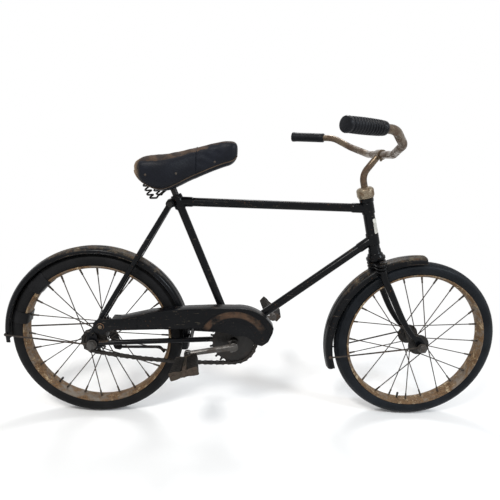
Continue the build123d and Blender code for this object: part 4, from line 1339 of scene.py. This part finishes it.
# frame
LUG_SLEEVE = ((-14, 7.4), (-14, 11.4), (-12.8, 12), (11, 12), (12, 11.4), (14.4, 11.2), (14.4, 7.4))
LUG_EARS = ((-4, 10), (-22, 3), (-23, -8), (-18, -12), (2, -10))
SHELL = ((-28, 6.8), (-28, 17.4), (-26.8, 18.6), (-22, 19), (22, 19), (26.8, 18.6), (28, 17.4), (28, 6.8))
SHELL_CUP = ((27.4, 6.8), (27.4, 16.4), (29.8, 15.8), (30.4, 14.8), (30.4, 6.8))


def lugged(a, b, radius, lug_a, lug_b, trim_a, trim_b):
    """A tube with a thicker lug at each end, stepped down over a few millimetres."""
    run = (b - a).length * 1000
    unit = (b - a).normalized()
    far = run - lug_b
    rows = (
        (trim_a, radius + 1.4),
        (lug_a, radius + 1.3),
        (lug_a + 2.5, radius + 0.5),
        (lug_a + 3.5, radius),
        (far - 3.5, radius),
        (far - 2.5, radius + 0.5),
        (far, radius + 1.3),
        (run - trim_b, radius + 1.4),
    )
    return pipe([a + unit * d / 1000 for d, _ in rows], [r for _, r in rows], 32)


class BICYCLE_OT_frame_tubes(bpy.types.Operator):
    """Top, down and seat tube with their lugs and the bracket shell"""

    bl_idname = "bicycle.frame_tubes"
    bl_label = "Frame tubes"

    def execute(self, context):
        cluster = at(CLUSTER_X, 0, TOP_TUBE_Z)
        head = steer(TOP_TUBE_Z)
        low_head = steer(DOWN_TUBE_Z)
        shell = at(BRACKET[0], 0, BRACKET[1])
        paint = finish("frame_paint")

        bm = lugged(cluster, head, 9.0, 27, 32, 4, 8)
        place(bm, "top_tube_dressed", paint, "frame", ("top_tube",), "black_paint", 25)
        bm = lugged(shell, low_head, 9.0, 34, 34, 12, 8)
        place(bm, "down_tube_dressed", paint, "frame", ("down_tube",), "black_paint", 25)
        bm = lugged(shell, cluster, 8.5, 32, 14, 12, -12)
        along = (cluster - shell).normalized()
        absorb(bm, turned(LUG_SLEEVE, cluster, along, 32))
        ears = [(CLUSTER_X + x, TOP_TUBE_Z + z) for x, z in LUG_EARS]
        for y in (-7.0, 3.0):
            absorb(bm, plate(ears, y, 4.0, 0.0008))
        absorb(bm, about_axle(SHELL, *BRACKET, 48))
        for left in (-1, 1):
            absorb(bm, about_axle(on_side(left, SHELL_CUP), *BRACKET, 36))
        place(bm, "seat_tube_dressed", paint, "frame", ("seat_tube",), "black_paint")
        return {"FINISHED"}


BRIDGE_REACH = 200.1


def bridge_place(degrees):
    """Forward and upward place of a bridge that carries the rear mudguard."""
    return BRIDGE_REACH * cos(radians(degrees)), BRIDGE_REACH * sin(radians(degrees))


class BICYCLE_OT_rear_triangle(bpy.types.Operator):
    """Seat stays, chain stays, their bridges and bolts, and the axle plates"""

    bl_idname = "bicycle.rear_triangle"
    bl_label = "Rear stays"

    def execute(self, context):
        paint = finish("frame_paint")
        bm = bmesh.new()
        for left in (-1, 1):
            route = [
                at(-4, left * 49, 18),
                at(STAY_BEND[0], left * 31, STAY_BEND[1]),
                at(STAY_TOP[0], left * 13, STAY_TOP[1]),
            ]
            path = rounded(route, 120, 10)
            absorb(bm, pipe(path, [4.6, 5.4] + [5.5] * (len(path) - 2), 20))
            eye = on_side(left, ((7.6, 0), (7.6, 8.0), (8.4, 8.5), (17.6, 8.5), (18.5, 7.8), (18.5, 0)))
            absorb(bm, about_axle(eye, *STAY_TOP, 28))
        x, z = bridge_place(63.6)
        absorb(bm, pipe([at(x, y, z) for y in (-31, -25, 0, 25, 31)], [5.2, 4.0, 4.0, 4.0, 5.2], 16))
        place(bm, "seat_stays_dressed", paint, "frame", ("seat_stays",), "black_paint")
        for left in (-1, 1):
            bolt = nut(at(STAY_TOP[0], left * 20.2, STAY_TOP[1]), ACROSS, 6.4, 3.6, 0.5)
            side = "left" if left > 0 else "right"
            place(bolt, f"cluster_bolt_{side}", finish("dark_steel_and_shade"), "frame", (), "dull_steel")
        bm = bmesh.new()
        for left in (-1, 1):
            a, b = at(12, left * 49, 0), at(BRACKET[0], left * 20.5, BRACKET[1])
            path = [a.lerp(b, share) for share in (0, 0.04, 0.12, 0.3, 0.6, 0.86, 0.94)]
            absorb(bm, pipe(path, [4.4, 4.8, 5.3, 5.5, 5.5, 5.5, 5.3], 20))
        x, z = bridge_place(0.5)
        absorb(bm, pipe([at(x, y, z) for y in (-30, -24, 24, 30)], [5.0, 4.0, 4.0, 5.0], 16))
        place(bm, "chain_stays_dressed", paint, "frame", ("chain_stays",), "black_paint")
        bm = dressed("axle_plates", 0.0006)
        place(bm, "axle_plates_dressed", paint, "frame", ("axle_plates",), "black_paint")
        return {"FINISHED"}


HEAD_TUBE = (
    # height above the lower end, radius
    (-12.4, 9.6),
    (-12.4, 19.4),
    (-11.4, 20.4),
    (-7.4, 20.4),
    (-6.6, 19.6),
    (-6.2, 18.2),
    (-3.0, 16.6),
    (-0.4, 16.0),
    (0.4, 14.6),
    (2.4, 13.4),
    (9.0, 13.2),
    (11.0, 12.1),
    (103.0, 12.1),
    (105.0, 13.2),
    (110.0, 13.6),
    (111.0, 14.6),
    (117.0, 14.9),
    (117.9, 14.2),
    (117.9, 9.6),
)
HEAD_PLATE = ((35.0, 12.0), (35.0, 12.5), (36.0, 12.9), (74.0, 12.9), (75.0, 12.5), (75.0, 12.0))
PLATE_WRAP = radians(152)
HEAD_NUT = (
    # height above the upper end, radius
    (4.8, 9.2),
    (4.8, 15.6),
    (5.8, 16.4),
    (7.4, 16.2),
    (8.4, 17.4),
    (10.0, 17.9),
    (20.6, 17.9),
    (22.6, 17.2),
    (25.2, 14.6),
    (26.4, 11.4),
    (26.8, 7.2),
)


def head_rows(rows, base):
    """Heights above a level and radii as distances along the steering axis."""
    return [(up / sin(HEAD_ANGLE), radius) for up, radius in rows], steer(base)


class BICYCLE_OT_head(bpy.types.Operator):
    """Head tube with its cups and races, a blank plate on its front, and the head nut"""

    bl_idname = "bicycle.head"
    bl_label = "Head tube"

    def execute(self, context):
        profile, origin = head_rows(HEAD_TUBE, HEAD_BOTTOM)
        bm = turned(profile, origin, STEER_AXIS, 56)
        for z, half in ((TOP_TUBE_Z, 11.5), (DOWN_TUBE_Z, 12.5)):
            rise = [(-half, 12.0), (-half, 12.9), (-half + 1, 13.5)]
            sleeve = rise + [(-d, radius) for d, radius in reversed(rise)]
            absorb(bm, turned(sleeve, steer(z), STEER_AXIS, 56))
        place(bm, "head_tube_dressed", finish("frame_paint"), "frame", ("head_tube",), "black_paint", 30)
        start = Matrix.Rotation(-PLATE_WRAP / 2, 3, STEER_AXIS) @ AHEAD
        profile, origin = head_rows(HEAD_PLATE, HEAD_BOTTOM)
        blank = turned(profile, origin, STEER_AXIS, 20, PLATE_WRAP, start)
        place(blank, "head_plate", finish("badge_plate"), "frame", (), "dull_steel")
        profile, origin = head_rows(HEAD_NUT, HEAD_TOP)
        bm = turned(profile, origin, STEER_AXIS, 48)
        place(bm, "head_nut_dressed", finish("nut_chrome"), "steering", ("head_nut",), "worn_chrome", 28)
        return {"FINISHED"}


CROWN_PLATES = 3
CROWN_REACH = 31.0
CROWN_LOBE = 11.0
CROWN_COLUMN = (
    # distance along the steering axis, radius
    (2.0, 0.0),
    (2.0, 15.2),
    (8.6, 15.2),
    (9.4, 16.6),
    (13.6, 16.6),
    (14.4, 15.2),
    (21.0, 16.8),
    (22.2, 14.6),
    (22.2, 0.0),
)
FORK_TIP = (
    # ahead of the axle, up
    (-17, 15),
    (-8, 24),
    (-1, 20),
    (8, 8),
    (10, 0),
    (8, -6.5),
    (0, -10),
    (-8, -6.5),
    (-10.5, 2),
)
BLADE = (
    # height as a share of the crown's, ahead of the axis, out from the middle, radius
    (1.141, 6.0, 31.0, 7.75),
    (0.939, 2.2, 31.0, 7.75),
    (0.755, 10.1, 32.8, 7.5),
    (0.411, 24.2, 36.0, 6.65),
    (0.209, 37.3, 38.2, 5.6),
    (0.085, 49.6, 39.9, 5.1),
)


def crown_reach(turn):
    """Edge of a crown plate: a waist with a round lobe over each blade."""
    c, s = abs(cos(turn)), abs(sin(turn))
    flat = CROWN_LOBE / s if s > 0.05 else 99
    if flat * c <= CROWN_REACH:
        edge = flat
    elif CROWN_REACH * s < CROWN_LOBE and c > 0.5:
        edge = CROWN_REACH * c + (CROWN_LOBE**2 - (CROWN_REACH * s) ** 2) ** 0.5
    else:
        edge = 0
    return max(20.0, min(edge, 42.0))


class BICYCLE_OT_fork(bpy.types.Operator):
    """Fork with its crown of three plates, raked blades and axle tips"""

    bl_idname = "bicycle.fork"
    bl_label = "Fork"

    def execute(self, context):
        bm = bmesh.new()
        for step in range(CROWN_PLATES):
            base = steer(CROWN_Z + step * 7.0)
            outline = []
            for i in range(56):
                turn = 2 * pi * i / 56
                out = ACROSS * cos(turn) + AHEAD * sin(turn)
                outline.append(base + out * crown_reach(turn) / 1000)
            absorb(bm, bevelled(slab(outline, STEER_AXIS * 0.0044), 0.0014, 3, 50))
        absorb(bm, turned(CROWN_COLUMN, steer(CROWN_Z), STEER_AXIS, 40))
        for left in (-1, 1):
            rows = flowing(BLADE, 6)
            points = [steer(up * CROWN_Z, forward, left * y) for up, forward, y, _ in rows]
            absorb(bm, pipe(points, [r for _, _, _, r in rows], 24, 0.9, ACROSS))
            y = 38.0 if left > 0 else -42.0
            tip = [(WHEELBASE + x, z) for x, z in FORK_TIP]
            absorb(bm, plate(tip, y, 4.0, 0.0008))
        hollow = bmesh.new()
        centre = Matrix.Translation(at(FRONT_GUARD_X, 0, FRONT_GUARD_Z))
        bmesh.ops.create_cone(
            hollow,
            cap_ends=True,
            segments=96,
            radius1=(FRONT_GUARD_R + 0.3) / 1000,
            radius2=(FRONT_GUARD_R + 0.3) / 1000,
            depth=0.0424,
            matrix=centre @ Matrix.Rotation(pi / 2, 4, "X"),
        )
        piece = place(bm, "fork_dressed", finish("fork_paint"), "steering", ("fork",), "black_paint")
        hollowed(piece, hollow)
        return {"FINISHED"}


def hollowed(piece, cutter):
    """Cuts one closed mesh out of a piece."""
    mesh = bpy.data.meshes.new("cutter")
    cutter.to_mesh(mesh)
    cutter.free()
    tool = bpy.data.objects.new("cutter", mesh)
    bpy.context.scene.collection.objects.link(tool)
    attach(tool, "steering")
    cut = piece.modifiers.new("Hollow", "BOOLEAN")
    cut.operation = "DIFFERENCE"
    cut.solver = "EXACT"
    cut.use_self = True
    cut.object = tool
    applied(piece)
    bpy.data.objects.remove(tool)
    bpy.data.meshes.remove(mesh)
    piece.data.shade_smooth()
    piece.data.set_sharp_from_angle(angle=radians(38))


def applied(piece):
    """Puts what a piece's modifiers make into its mesh."""
    graph = bpy.context.evaluated_depsgraph_get()
    mesh = bpy.data.meshes.new_from_object(piece.evaluated_get(graph), depsgraph=graph)
    old = piece.data
    piece.modifiers.clear()
    piece.data = mesh
    mesh.name = piece.name
    bpy.data.meshes.remove(old)


BAR = (
    # ahead of the stem's clamp, out from the middle, up
    (0.0, 0.0, 0.0),
    (0.0, 72.0, 0.0),
    (-18.0, 160.0, 16.0),
    (-50.0, 203.0, 37.0),
    (-144.0, 255.0, 38.0),
)
RIBBED_END = (
    # distance short of the grip's end, radius: right grip
    (10, 11.0),
    (8, 12.4),
    (3, 12.6),
    (0.8, 11.6),
    (0, 8.0),
    (0, 0.0),
)
PLAIN_END = (
    # the same for the left grip
    (14, 11.3),
    (8, 11.8),
    (3, 12.2),
    (0.8, 11.2),
    (0, 7.5),
    (0, 0.0),
)
BAR_X = 578.971
BAR_Z = 405.035


class BICYCLE_OT_handlebar(bpy.types.Operator):
    """Stem with its clamp bolt, raised handlebar and both grips"""

    bl_idname = "bicycle.handlebar"
    bl_label = "Stem, handlebar and grips"

    def execute(self, context):
        route = [steer(HEAD_TOP - 30), steer(HEAD_TOP + 52), at(BAR_X - 2, 0, BAR_Z)]
        bm = pipe(rounded(route, 34, 12), 7.0, 24)
        lug = [(-14, 7.4), (-14, 9.4), (-13, 10.3), (-5, 10.5), (5, 10.5), (13, 10.3), (14, 9.4), (14, 7.4)]
        absorb(bm, about_axle(lug, BAR_X, BAR_Z, 40))
        absorb(bm, nut(at(BAR_X + 4, 0, BAR_Z - 9.4), Vector((0.9, 0, -0.45)).normalized(), 4.6, 3.4))
        place(bm, "stem_dressed", finish("worn_chrome"), "steering", ("stem",), "worn_chrome")
        both = [*((x, -y, z) for x, y, z in reversed(BAR)), *BAR[1:]]
        bm = pipe(rounded([at(BAR_X + x, y, BAR_Z + z) for x, y, z in both], 52, 12), 7.5, 28)
        place(bm, "handlebar_dressed", finish("worn_chrome"), "steering", ("handlebar",), "worn_chrome")
        bm = bmesh.new()
        for left in (-1, 1):
            knee, end = [at(BAR_X + x, left * y, BAR_Z + z) for x, y, z in BAR[-2:]]
            unit = (end - knee).normalized()
            long = (end - knee).length * 1000
            start = long * 0.24
            stop = long + 2.8
            profile = [(start, 0.0), (start, 10.0), (start + 1.2, 11.0)]
            if left < 0:
                profile += [(start + 5, 11.6), (start + 7, 11.0)]
                d = start + 10
                while d < stop - 14:
                    radius = 11.2 + sin(pi * (d - start) / (stop - start))
                    profile += [(d, radius - 0.7), (d + 0.9, radius + 0.5)]
                    profile += [(d + 3.4, radius + 0.5), (d + 4.3, radius - 0.7)]
                    d += 5.8
                end_rows = RIBBED_END
            else:
                profile.append((start + 12, 11.1))
                end_rows = PLAIN_END
            profile += [(stop - short, radius) for short, radius in end_rows]
            absorb(bm, turned(profile, knee, unit, 40, closed=False))
        place(bm, "grips_dressed", finish("grip_rubber"), "steering", ("grips",), "black_rubber", 50)
        return {"FINISHED"}


# saddle
SADDLE = (
    # ahead of the rider's place, half width, top and lower edge above it
    (-62.0, 47.0, -14.0, -36.0),
    (-56.0, 58.0, -9.0, -47.0),
    (-44.0, 67.0, -4.5, -59.0),
    (-24.0, 68.0, -1.5, -69.0),
    (-5.0, 67.0, 0.5, -71.0),
    (18.0, 58.0, 5.5, -62.0),
    (42.0, 45.0, 12.0, -49.0),
    (66.0, 34.5, 18.5, -38.0),
    (88.0, 27.0, 25.0, -28.0),
    (108.0, 23.5, 30.0, -20.0),
    (126.0, 20.5, 33.5, -14.0),
    (134.0, 16.5, 31.5, -7.0),
    (138.0, 10.0, 27.0, 1.0),
)


PAD_INSET = 1.6
SEAM_X = 56.0
RIVET = ((-0.6, 0.0), (-0.6, 2.4), (0.3, 2.2), (0.9, 1.4), (1.1, 0.0))
CLAMP_BODY = ((15, 0), (15, 8.6), (14, 9.6), (9.5, 9.9), (9, 8.4), (5, 8.4), (4.5, 9.9))


def laid(surface, rays, lift):
    """Points just above a surface where rays from far outside meet it."""
    points = []
    for start, aim in rays:
        spot, normal = surface.ray_cast(Vector(start) / 1000, Vector(aim))[:2]
        if spot:
            points.append(spot + normal * lift)
    return points


class BICYCLE_OT_saddle(bpy.types.Operator):
    """Padded saddle with its welt, seam strap and rivets, and the post's clamp"""

    bl_idname = "bicycle.saddle"
    bl_label = "Saddle"

    def execute(self, context):
        bm = bmesh.new()
        before = None
        rows = flowing(SADDLE, 3)
        for i, (x, half_w, top, low) in enumerate(rows):
            ring = bmesh.ops.create_circle(
                bm,
                cap_ends=i in (0, len(rows) - 1),
                segments=40,
                radius=1,
                matrix=Matrix.Translation(Vector((x, 0, 0)) / 1000) @ Matrix.Rotation(pi / 2, 4, "Y"),
            )["verts"]
            middle = (top + low) / 2
            half_h = (top - low) / 2 - PAD_INSET
            for v in ring:
                c, q = v.co.y, v.co.z
                if q > 0:
                    wide = abs(c) ** 0.52
                    high = abs(q) ** 0.5
                else:
                    wide = abs(c) ** 0.5 * (1 - 0.04 * abs(q))
                    high = -(abs(q) ** 0.42)
                y = (half_w - PAD_INSET) * wide * (1 if c > 0 else -1)
                v.co = Vector((x, y, middle + half_h * high)) / 1000
            edges = ring_edges(ring)
            if before:
                bmesh.ops.bridge_loops(bm, edges=before + edges)
            before = edges
        tidy(bm)
        pad = place(bm, "saddle_pad", finish("cover"), "frame", ("saddle",), "saddle_cover", 180)
        remesh = pad.modifiers.new("Even", "REMESH")
        remesh.mode = "VOXEL"
        remesh.voxel_size = 0.0045
        applied(pad)
        start = [v.co.copy() for v in pad.data.vertices]
        swell(pad, start, settings().swell)
        for v in pad.data.vertices:
            crease(v)
        smoothed(pad, 2)
        fine = pad.modifiers.new("Fine", "SUBSURF")
        fine.levels = fine.render_levels = 1
        applied(pad)
        pad.data.shade_smooth()
        self.trim(pad)
        self.clamp()
        return {"FINISHED"}

    def trim(self, pad):
        """Welt, seam and rivets, laid where rays meet the pad."""
        bm = bmesh.new()
        bm.from_mesh(pad.data)
        surface = BVHTree.FromBMesh(bm)
        bm.free()
        welt = bmesh.new()
        for left in (-1, 1):
            rays = [((x, left * 200, low + 7.5), (0, -left, 0)) for x, _, _, low in flowing(SADDLE, 3)]
            absorb(welt, pipe(laid(surface, rays, 0.0004), 1.1, 8))
        rays = []
        for i in range(15):
            y = -52 + 104 * i / 14
            rays.append(((-200, y, -31 - 9 * (y / 52) ** 2), (1, 0, 0)))
        absorb(welt, pipe(laid(surface, rays, 0.0004), 1.1, 8))
        place(welt, "saddle_welt", finish("welt"), "frame", (), "saddle_cover")
        rays = []
        for i in range(33):
            turn = radians(-38 + 256 * i / 32)
            c, q = cos(turn), sin(turn)
            rays.append(((SEAM_X, 200 * c, 200 * q - 8), (0, -c, -q)))
        strap = pipe(laid(surface, rays, 0.0003), 0.9, 6)
        place(strap, "saddle_seams", finish("cover"), "frame", (), "saddle_cover")
        rivets = bmesh.new()
        rays = [((-200, y, -24), (1, 0, 0)) for y in (-36, -12, 12, 36)]
        for x, z in ((-36, -38), (20, -34), (92, -10)):
            rays += [((x, -200, z), (0, 1, 0)), ((x, 200, z), (0, -1, 0))]
        for start, aim in rays:
            spot, normal = surface.ray_cast(Vector(start) / 1000, Vector(aim))[:2]
            if spot:
                absorb(rivets, turned(RIVET, spot, normal, 14, closed=False))
        place(rivets, "saddle_rivets", finish("dull_steel"), "frame", (), "dull_steel")

    def clamp(self):
        """The post's upper end and the clamp on it."""
        cluster = at(CLUSTER_X, 0, TOP_TUBE_Z)
        along = (cluster - at(BRACKET[0], 0, BRACKET[1])).normalized()
        post = [(-30, 0), (-30, 6.45), (27, 6.45), (30, 6.1), (37, 6.1), (37, 0)]
        bm = turned(post, cluster, along, 32, closed=False)
        body = [*on_side(-1, CLAMP_BODY), *reversed(CLAMP_BODY)]
        absorb(bm, about_axle(body, *CLAMP, 36))
        for left in (-1, 1):
            absorb(bm, nut(at(CLAMP[0], left * 14.6, CLAMP[1]), ACROSS, 6.2, 4.0, 0.3))
        place(bm, "seat_post_dressed", finish("dark_steel_and_shade"), "frame", ("seat_post",), "worn_chrome")


def crease(v):
    """Presses the pad in a little along its seam, in low dents and in folds towards the nose."""
    x, y, z = v.co * 1000
    v.co.z -= 0.0007 * max(0.0, 1 - abs(x - SEAM_X) / 3.2)
    if z > -25:
        v.co.z -= 0.0006 * sin(x * 0.21 + y * 0.05) * sin(y * 0.09 + 0.6)
    nose = min(1.0, max(0.0, (x - SEAM_X) / 8)) * min(1.0, max(0.0, (122 - x) / 30))
    if nose > 0 and abs(y) > 10:
        fold = max(0.0, sin(0.17 * x + 0.34 * z + 1.2)) ** 2
        v.co.y -= 0.0026 * fold * nose * (1 if y > 0 else -1)


def smoothed(piece, times):
    """Evens out a piece's mesh."""
    bm = bmesh.new()
    bm.from_mesh(piece.data)
    axes = {"use_axis_x": True, "use_axis_y": True, "use_axis_z": True}
    for _ in range(times):
        bmesh.ops.smooth_vert(bm, verts=bm.verts, factor=0.5, **axes)
    bm.to_mesh(piece.data)
    bm.free()


def swell(piece, start, limit):
    """Fills a pad by a short cloth simulation and holds each point within a limit."""
    cloth = piece.modifiers.new("Swell", "CLOTH")
    cloth.settings.use_pressure = True
    cloth.settings.uniform_pressure_force = 4
    cloth.settings.effector_weights.gravity = 0
    scene = bpy.context.scene
    for number in range(1, 21):
        scene.frame_set(number)
    graph = bpy.context.evaluated_depsgraph_get()
    moved = [v.co.copy() for v in piece.evaluated_get(graph).data.vertices]
    piece.modifiers.clear()
    scene.frame_set(1)
    for v, a, b in zip(piece.data.vertices, start, moved):
        step = b - a
        v.co = a + step.normalized() * min(step.length, limit * 0.5) if step.length > 1e-9 else a


COIL_R = 5.4


class BICYCLE_OT_springs(bpy.types.Operator):
    """Two coil springs under the saddle, their cross wire and the rails to the nose"""

    bl_idname = "bicycle.springs"
    bl_label = "Saddle springs"

    def execute(self, context):
        turns = settings().spring_turns
        clamp = at(CLAMP[0], 0, CLAMP[1])
        bm = bmesh.new()
        for left in (-1, 1):
            foot = Vector((-29, left * 40, -83)) / 1000
            top = Vector((-44, left * 43, -44)) / 1000
            lift = (top - foot).normalized()
            side = lift.cross(ACROSS).normalized()
            third = lift.cross(side)
            coil = []
            count = int(turns * 14)
            for i in range(count + 1):
                turn = 2 * pi * turns * i / count
                radius = COIL_R if i > 2 else COIL_R * (0.4 + 0.2 * i)
                out = side * cos(turn) + third * sin(turn) * left
                coil.append(foot.lerp(top, i / count) + out * radius / 1000)
            absorb(bm, pipe(coil, 1.75, 8))
            inner = clamp + Vector((0, left * 12, 0)) / 1000
            route = [
                coil[0],
                foot + Vector((9, -left * 8, -1)) / 1000,
                Vector((-18, left * 30, -80)) / 1000,
                inner,
            ]
            absorb(bm, pipe(rounded(route, 8, 5), 1.9, 10))
            route = [
                inner + Vector((2, 0, 4)) / 1000,
                Vector((40, left * 11, -35)) / 1000,
                Vector((112, left * 7, 8)) / 1000,
            ]
            absorb(bm, pipe(rounded(route, 30, 6), 1.9, 10))
        bar = [Vector((-45, y, -42 + 3 * (1 - abs(y) / 46))) / 1000 for y in (-46, -30, 0, 30, 46)]
        absorb(bm, pipe(bar, 1.9, 10))
        place(bm, "springs_dressed", finish("spring_steel"), "frame", ("saddle_springs",), "dull_steel")
        return {"FINISHED"}


HUB_ARM_Y = 64.6
HUB_ARM = (
    # ahead of the axle, up
    (0, 10.5),
    (7.5, 7.4),
    (10.4, 0),
    (30, -55),
    (30, -67),
    (26, -70.4),
    (14, -68.4),
    (11.5, -64),
    (-10.4, 0),
    (-7.5, 7.4),
)


class BICYCLE_OT_hub_arm(bpy.types.Operator):
    """The arm on the left end of the rear axle"""

    bl_idname = "bicycle.hub_arm"
    bl_label = "Hub arm"

    def execute(self, context):
        y = HUB_ARM_Y
        bm = plate(HUB_ARM, y, 3.0, 0.0007)
        route = [at(19, y + 1.4, -63), at(120, y + 0.2, -61), at(130, y + 0.2, -73.5)]
        absorb(bm, pipe(rounded(route, 8, 6), 3.4, 16))
        absorb(bm, nut(at(22, y + 3.6, -63), ACROSS, 5.2, 2.4))
        place(bm, "hub_arm_dressed", finish("frame_paint"), "frame", ("hub_arm",), "black_paint")
        return {"FINISHED"}


SLOT_FINISHES = {
    "black_paint": "frame_paint",
    "worn_chrome": "worn_chrome",
    "dull_steel": "dull_steel",
    "oily_steel": "oily_steel",
    "rusty_rim": "rear_rim",
    "tyre_rubber": "rear_rubber",
    "black_rubber": "grip_rubber",
    "saddle_cover": "cover",
}


class BICYCLE_OT_solids(bpy.types.Operator):
    """Gives every solid of the frame a fitting finish, shown or not"""

    bl_idname = "bicycle.solids"
    bl_label = "Finishes of the solids"

    def execute(self, context):
        slots = {row["node"]: row.get("material_slot") for row in frame["record"]["subparts"]}
        for name, node in frame["nodes"].items():
            material = finish(SLOT_FINISHES.get(slots.get(name), "dull_steel"))
            node.data.materials.clear()
            node.data.materials.append(material)
        return {"FINISHED"}


# stage
LAMPS = (
    # name, place, aim, size, watts, colour
    ("key", (-0.7, -1.6, 1.9), (0.1, 0, -0.25), 0.7, 44, (1.0, 0.98, 0.95)),
    ("fill", (2.0, -1.2, 1.0), (0.2, 0, -0.2), 0.6, 24, (0.82, 0.91, 1.0)),
    ("rim", (0.5, 1.5, 1.8), (0.1, 0, -0.2), 0.9, 26, (1.0, 1.0, 1.0)),
)


EYE = (0.1185, -0.8844, 0.0087)
LENS = 30.744
PAN = radians(-3.36)
PITCH_DOWN = radians(12.69)
ROLL = radians(2.47)


class BICYCLE_OT_stage(bpy.types.Operator):
    """Pale floor, soft lights and the camera"""

    bl_idname = "bicycle.stage"
    bl_label = "Stage"

    def execute(self, context):
        scene = context.scene
        scene.view_settings.view_transform = "Standard"
        bm = bmesh.new()
        ground = Matrix.Translation((0, 0, (-TYRE_R - SEAT_Z) / 1000))
        bmesh.ops.create_grid(bm, x_segments=24, y_segments=24, size=30, matrix=ground)
        mesh = bpy.data.meshes.new("floor")
        bm.to_mesh(mesh)
        bm.free()
        floor = bpy.data.objects.new("floor", mesh)
        scene.collection.objects.link(floor)
        floor.data.materials.append(self.floor_finish())
        for name, spot, aim, size, watts, colour in LAMPS:
            lamp = bpy.data.lights.new(name, "AREA")
            lamp.shape = "DISK"
            lamp.size = size
            lamp.energy = watts
            lamp.color = colour
            holder = bpy.data.objects.new(name, lamp)
            scene.collection.objects.link(holder)
            holder.location = spot
            holder.rotation_euler = (Vector(aim) - Vector(spot)).to_track_quat("-Z", "Y").to_euler()
        world = bpy.data.worlds.new("studio")
        scene.world = world
        world.use_nodes = True
        nodes, links = world.node_tree.nodes, world.node_tree.links
        back = nodes["Background"]
        back.inputs["Color"].default_value = (1, 1, 1, 1)
        path = nodes.new("ShaderNodeLightPath")
        seen = nodes.new("ShaderNodeMath")
        seen.operation = "MAXIMUM"
        links.new(path.outputs["Is Camera Ray"], seen.inputs[0])
        gloss = nodes.new("ShaderNodeMath")
        gloss.operation = "MAXIMUM"
        links.new(path.outputs["Is Glossy Ray"], gloss.inputs[0])
        links.new(path.outputs["Is Transmission Ray"], gloss.inputs[1])
        links.new(gloss.outputs[0], seen.inputs[1])
        strength = nodes.new("ShaderNodeMapRange")
        strength.inputs["To Min"].default_value = 0.55
        strength.inputs["To Max"].default_value = 1.0
        links.new(seen.outputs[0], strength.inputs["Value"])
        links.new(strength.outputs[0], back.inputs["Strength"])
        camera = bpy.data.cameras.new("camera")
        camera.sensor_width = 36
        camera.lens = LENS
        camera.clip_end = 100
        eye = bpy.data.objects.new("camera", camera)
        scene.collection.objects.link(eye)
        eye.location = EYE
        level = Matrix.Rotation(PAN, 4, "Z") @ Matrix.Rotation(pi / 2 - PITCH_DOWN, 4, "X")
        eye.rotation_euler = (level @ Matrix.Rotation(ROLL, 4, "Z")).to_euler()
        scene.camera = eye
        return {"FINISHED"}

    def floor_finish(self):
        """A pale floor that runs out into white."""
        f = Finish("floor")
        clouds = f.noise(3, 3, 0.5)
        f.set(base_color=f.mix(clouds, (0.9, 0.9, 0.895), (0.93, 0.93, 0.93)), roughness=0.9)
        f.matt(0.1)
        split = f.axes()
        squares = [f.math("MULTIPLY", split[axis], split[axis]) for axis in ("X", "Y")]
        far = f.between(f.math("SQRT", f.math("ADD", *squares)), 0.45, 1.15)
        rays = f.node("ShaderNodeLightPath").outputs
        gloss = f.math("MAXIMUM", rays["Is Glossy Ray"], rays["Is Transmission Ray"])
        seen = f.math("MAXIMUM", rays["Is Camera Ray"], gloss)
        white = f.node("ShaderNodeEmission")
        white.inputs["Strength"].default_value = 1.0
        mixed = f.node("ShaderNodeMixShader")
        f.join(f.math("MULTIPLY", far, seen), mixed.inputs[0])
        f.tree.links.new(f.shader.outputs[0], mixed.inputs[1])
        f.tree.links.new(white.outputs[0], mixed.inputs[2])
        f.tree.links.new(mixed.outputs[0], f.tree.nodes["Material Output"].inputs["Surface"])
        return f.material


OPERATORS = (
    BICYCLE_OT_solids,
    BICYCLE_OT_tyres,
    BICYCLE_OT_rims,
    BICYCLE_OT_hubs,
    BICYCLE_OT_axles,
    BICYCLE_OT_chain,
    BICYCLE_OT_cranks,
    BICYCLE_OT_pedals,
    BICYCLE_OT_chain_case,
    BICYCLE_OT_mudguards,
    BICYCLE_OT_guard_wires,
    BICYCLE_OT_frame_tubes,
    BICYCLE_OT_rear_triangle,
    BICYCLE_OT_head,
    BICYCLE_OT_fork,
    BICYCLE_OT_handlebar,
    BICYCLE_OT_saddle,
    BICYCLE_OT_springs,
    BICYCLE_OT_hub_arm,
    BICYCLE_OT_stage,
)


SHOWN_SETTINGS = (
    "paint",
    "rust",
    "chrome",
    "cover",
    "wear",
    "spoke",
    "spring_turns",
    "swell",
    "rim_steps",
)


class BICYCLE_PT_pieces(bpy.types.Panel):
    """Sizes, colours and the pieces of the bicycle"""

    bl_idname = "BICYCLE_PT_pieces"
    bl_label = "Child Bicycle"
    bl_space_type = "VIEW_3D"
    bl_region_type = "UI"
    bl_category = "Bicycle"

    def draw(self, context):
        for name in SHOWN_SETTINGS:
            self.layout.prop(context.scene.child_bicycle, name)
        for operator in OPERATORS:
            self.layout.operator(operator.bl_idname)


def register():
    """Adds the settings, operators and panel."""
    for kind in (ChildBicycleSettings, *OPERATORS, BICYCLE_PT_pieces):
        bpy.utils.register_class(kind)
    bpy.types.Scene.child_bicycle = PointerProperty(type=ChildBicycleSettings)


def unregister():
    """Takes them out again."""
    del bpy.types.Scene.child_bicycle
    for kind in reversed((ChildBicycleSettings, *OPERATORS, BICYCLE_PT_pieces)):
        bpy.utils.unregister_class(kind)


def main():
    """Builds every group of pieces."""
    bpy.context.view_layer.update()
    register()
    for operator in OPERATORS:
        group, name = operator.bl_idname.split(".")
        getattr(getattr(bpy.ops, group), name)()


if __name__ == "__main__":
    main()
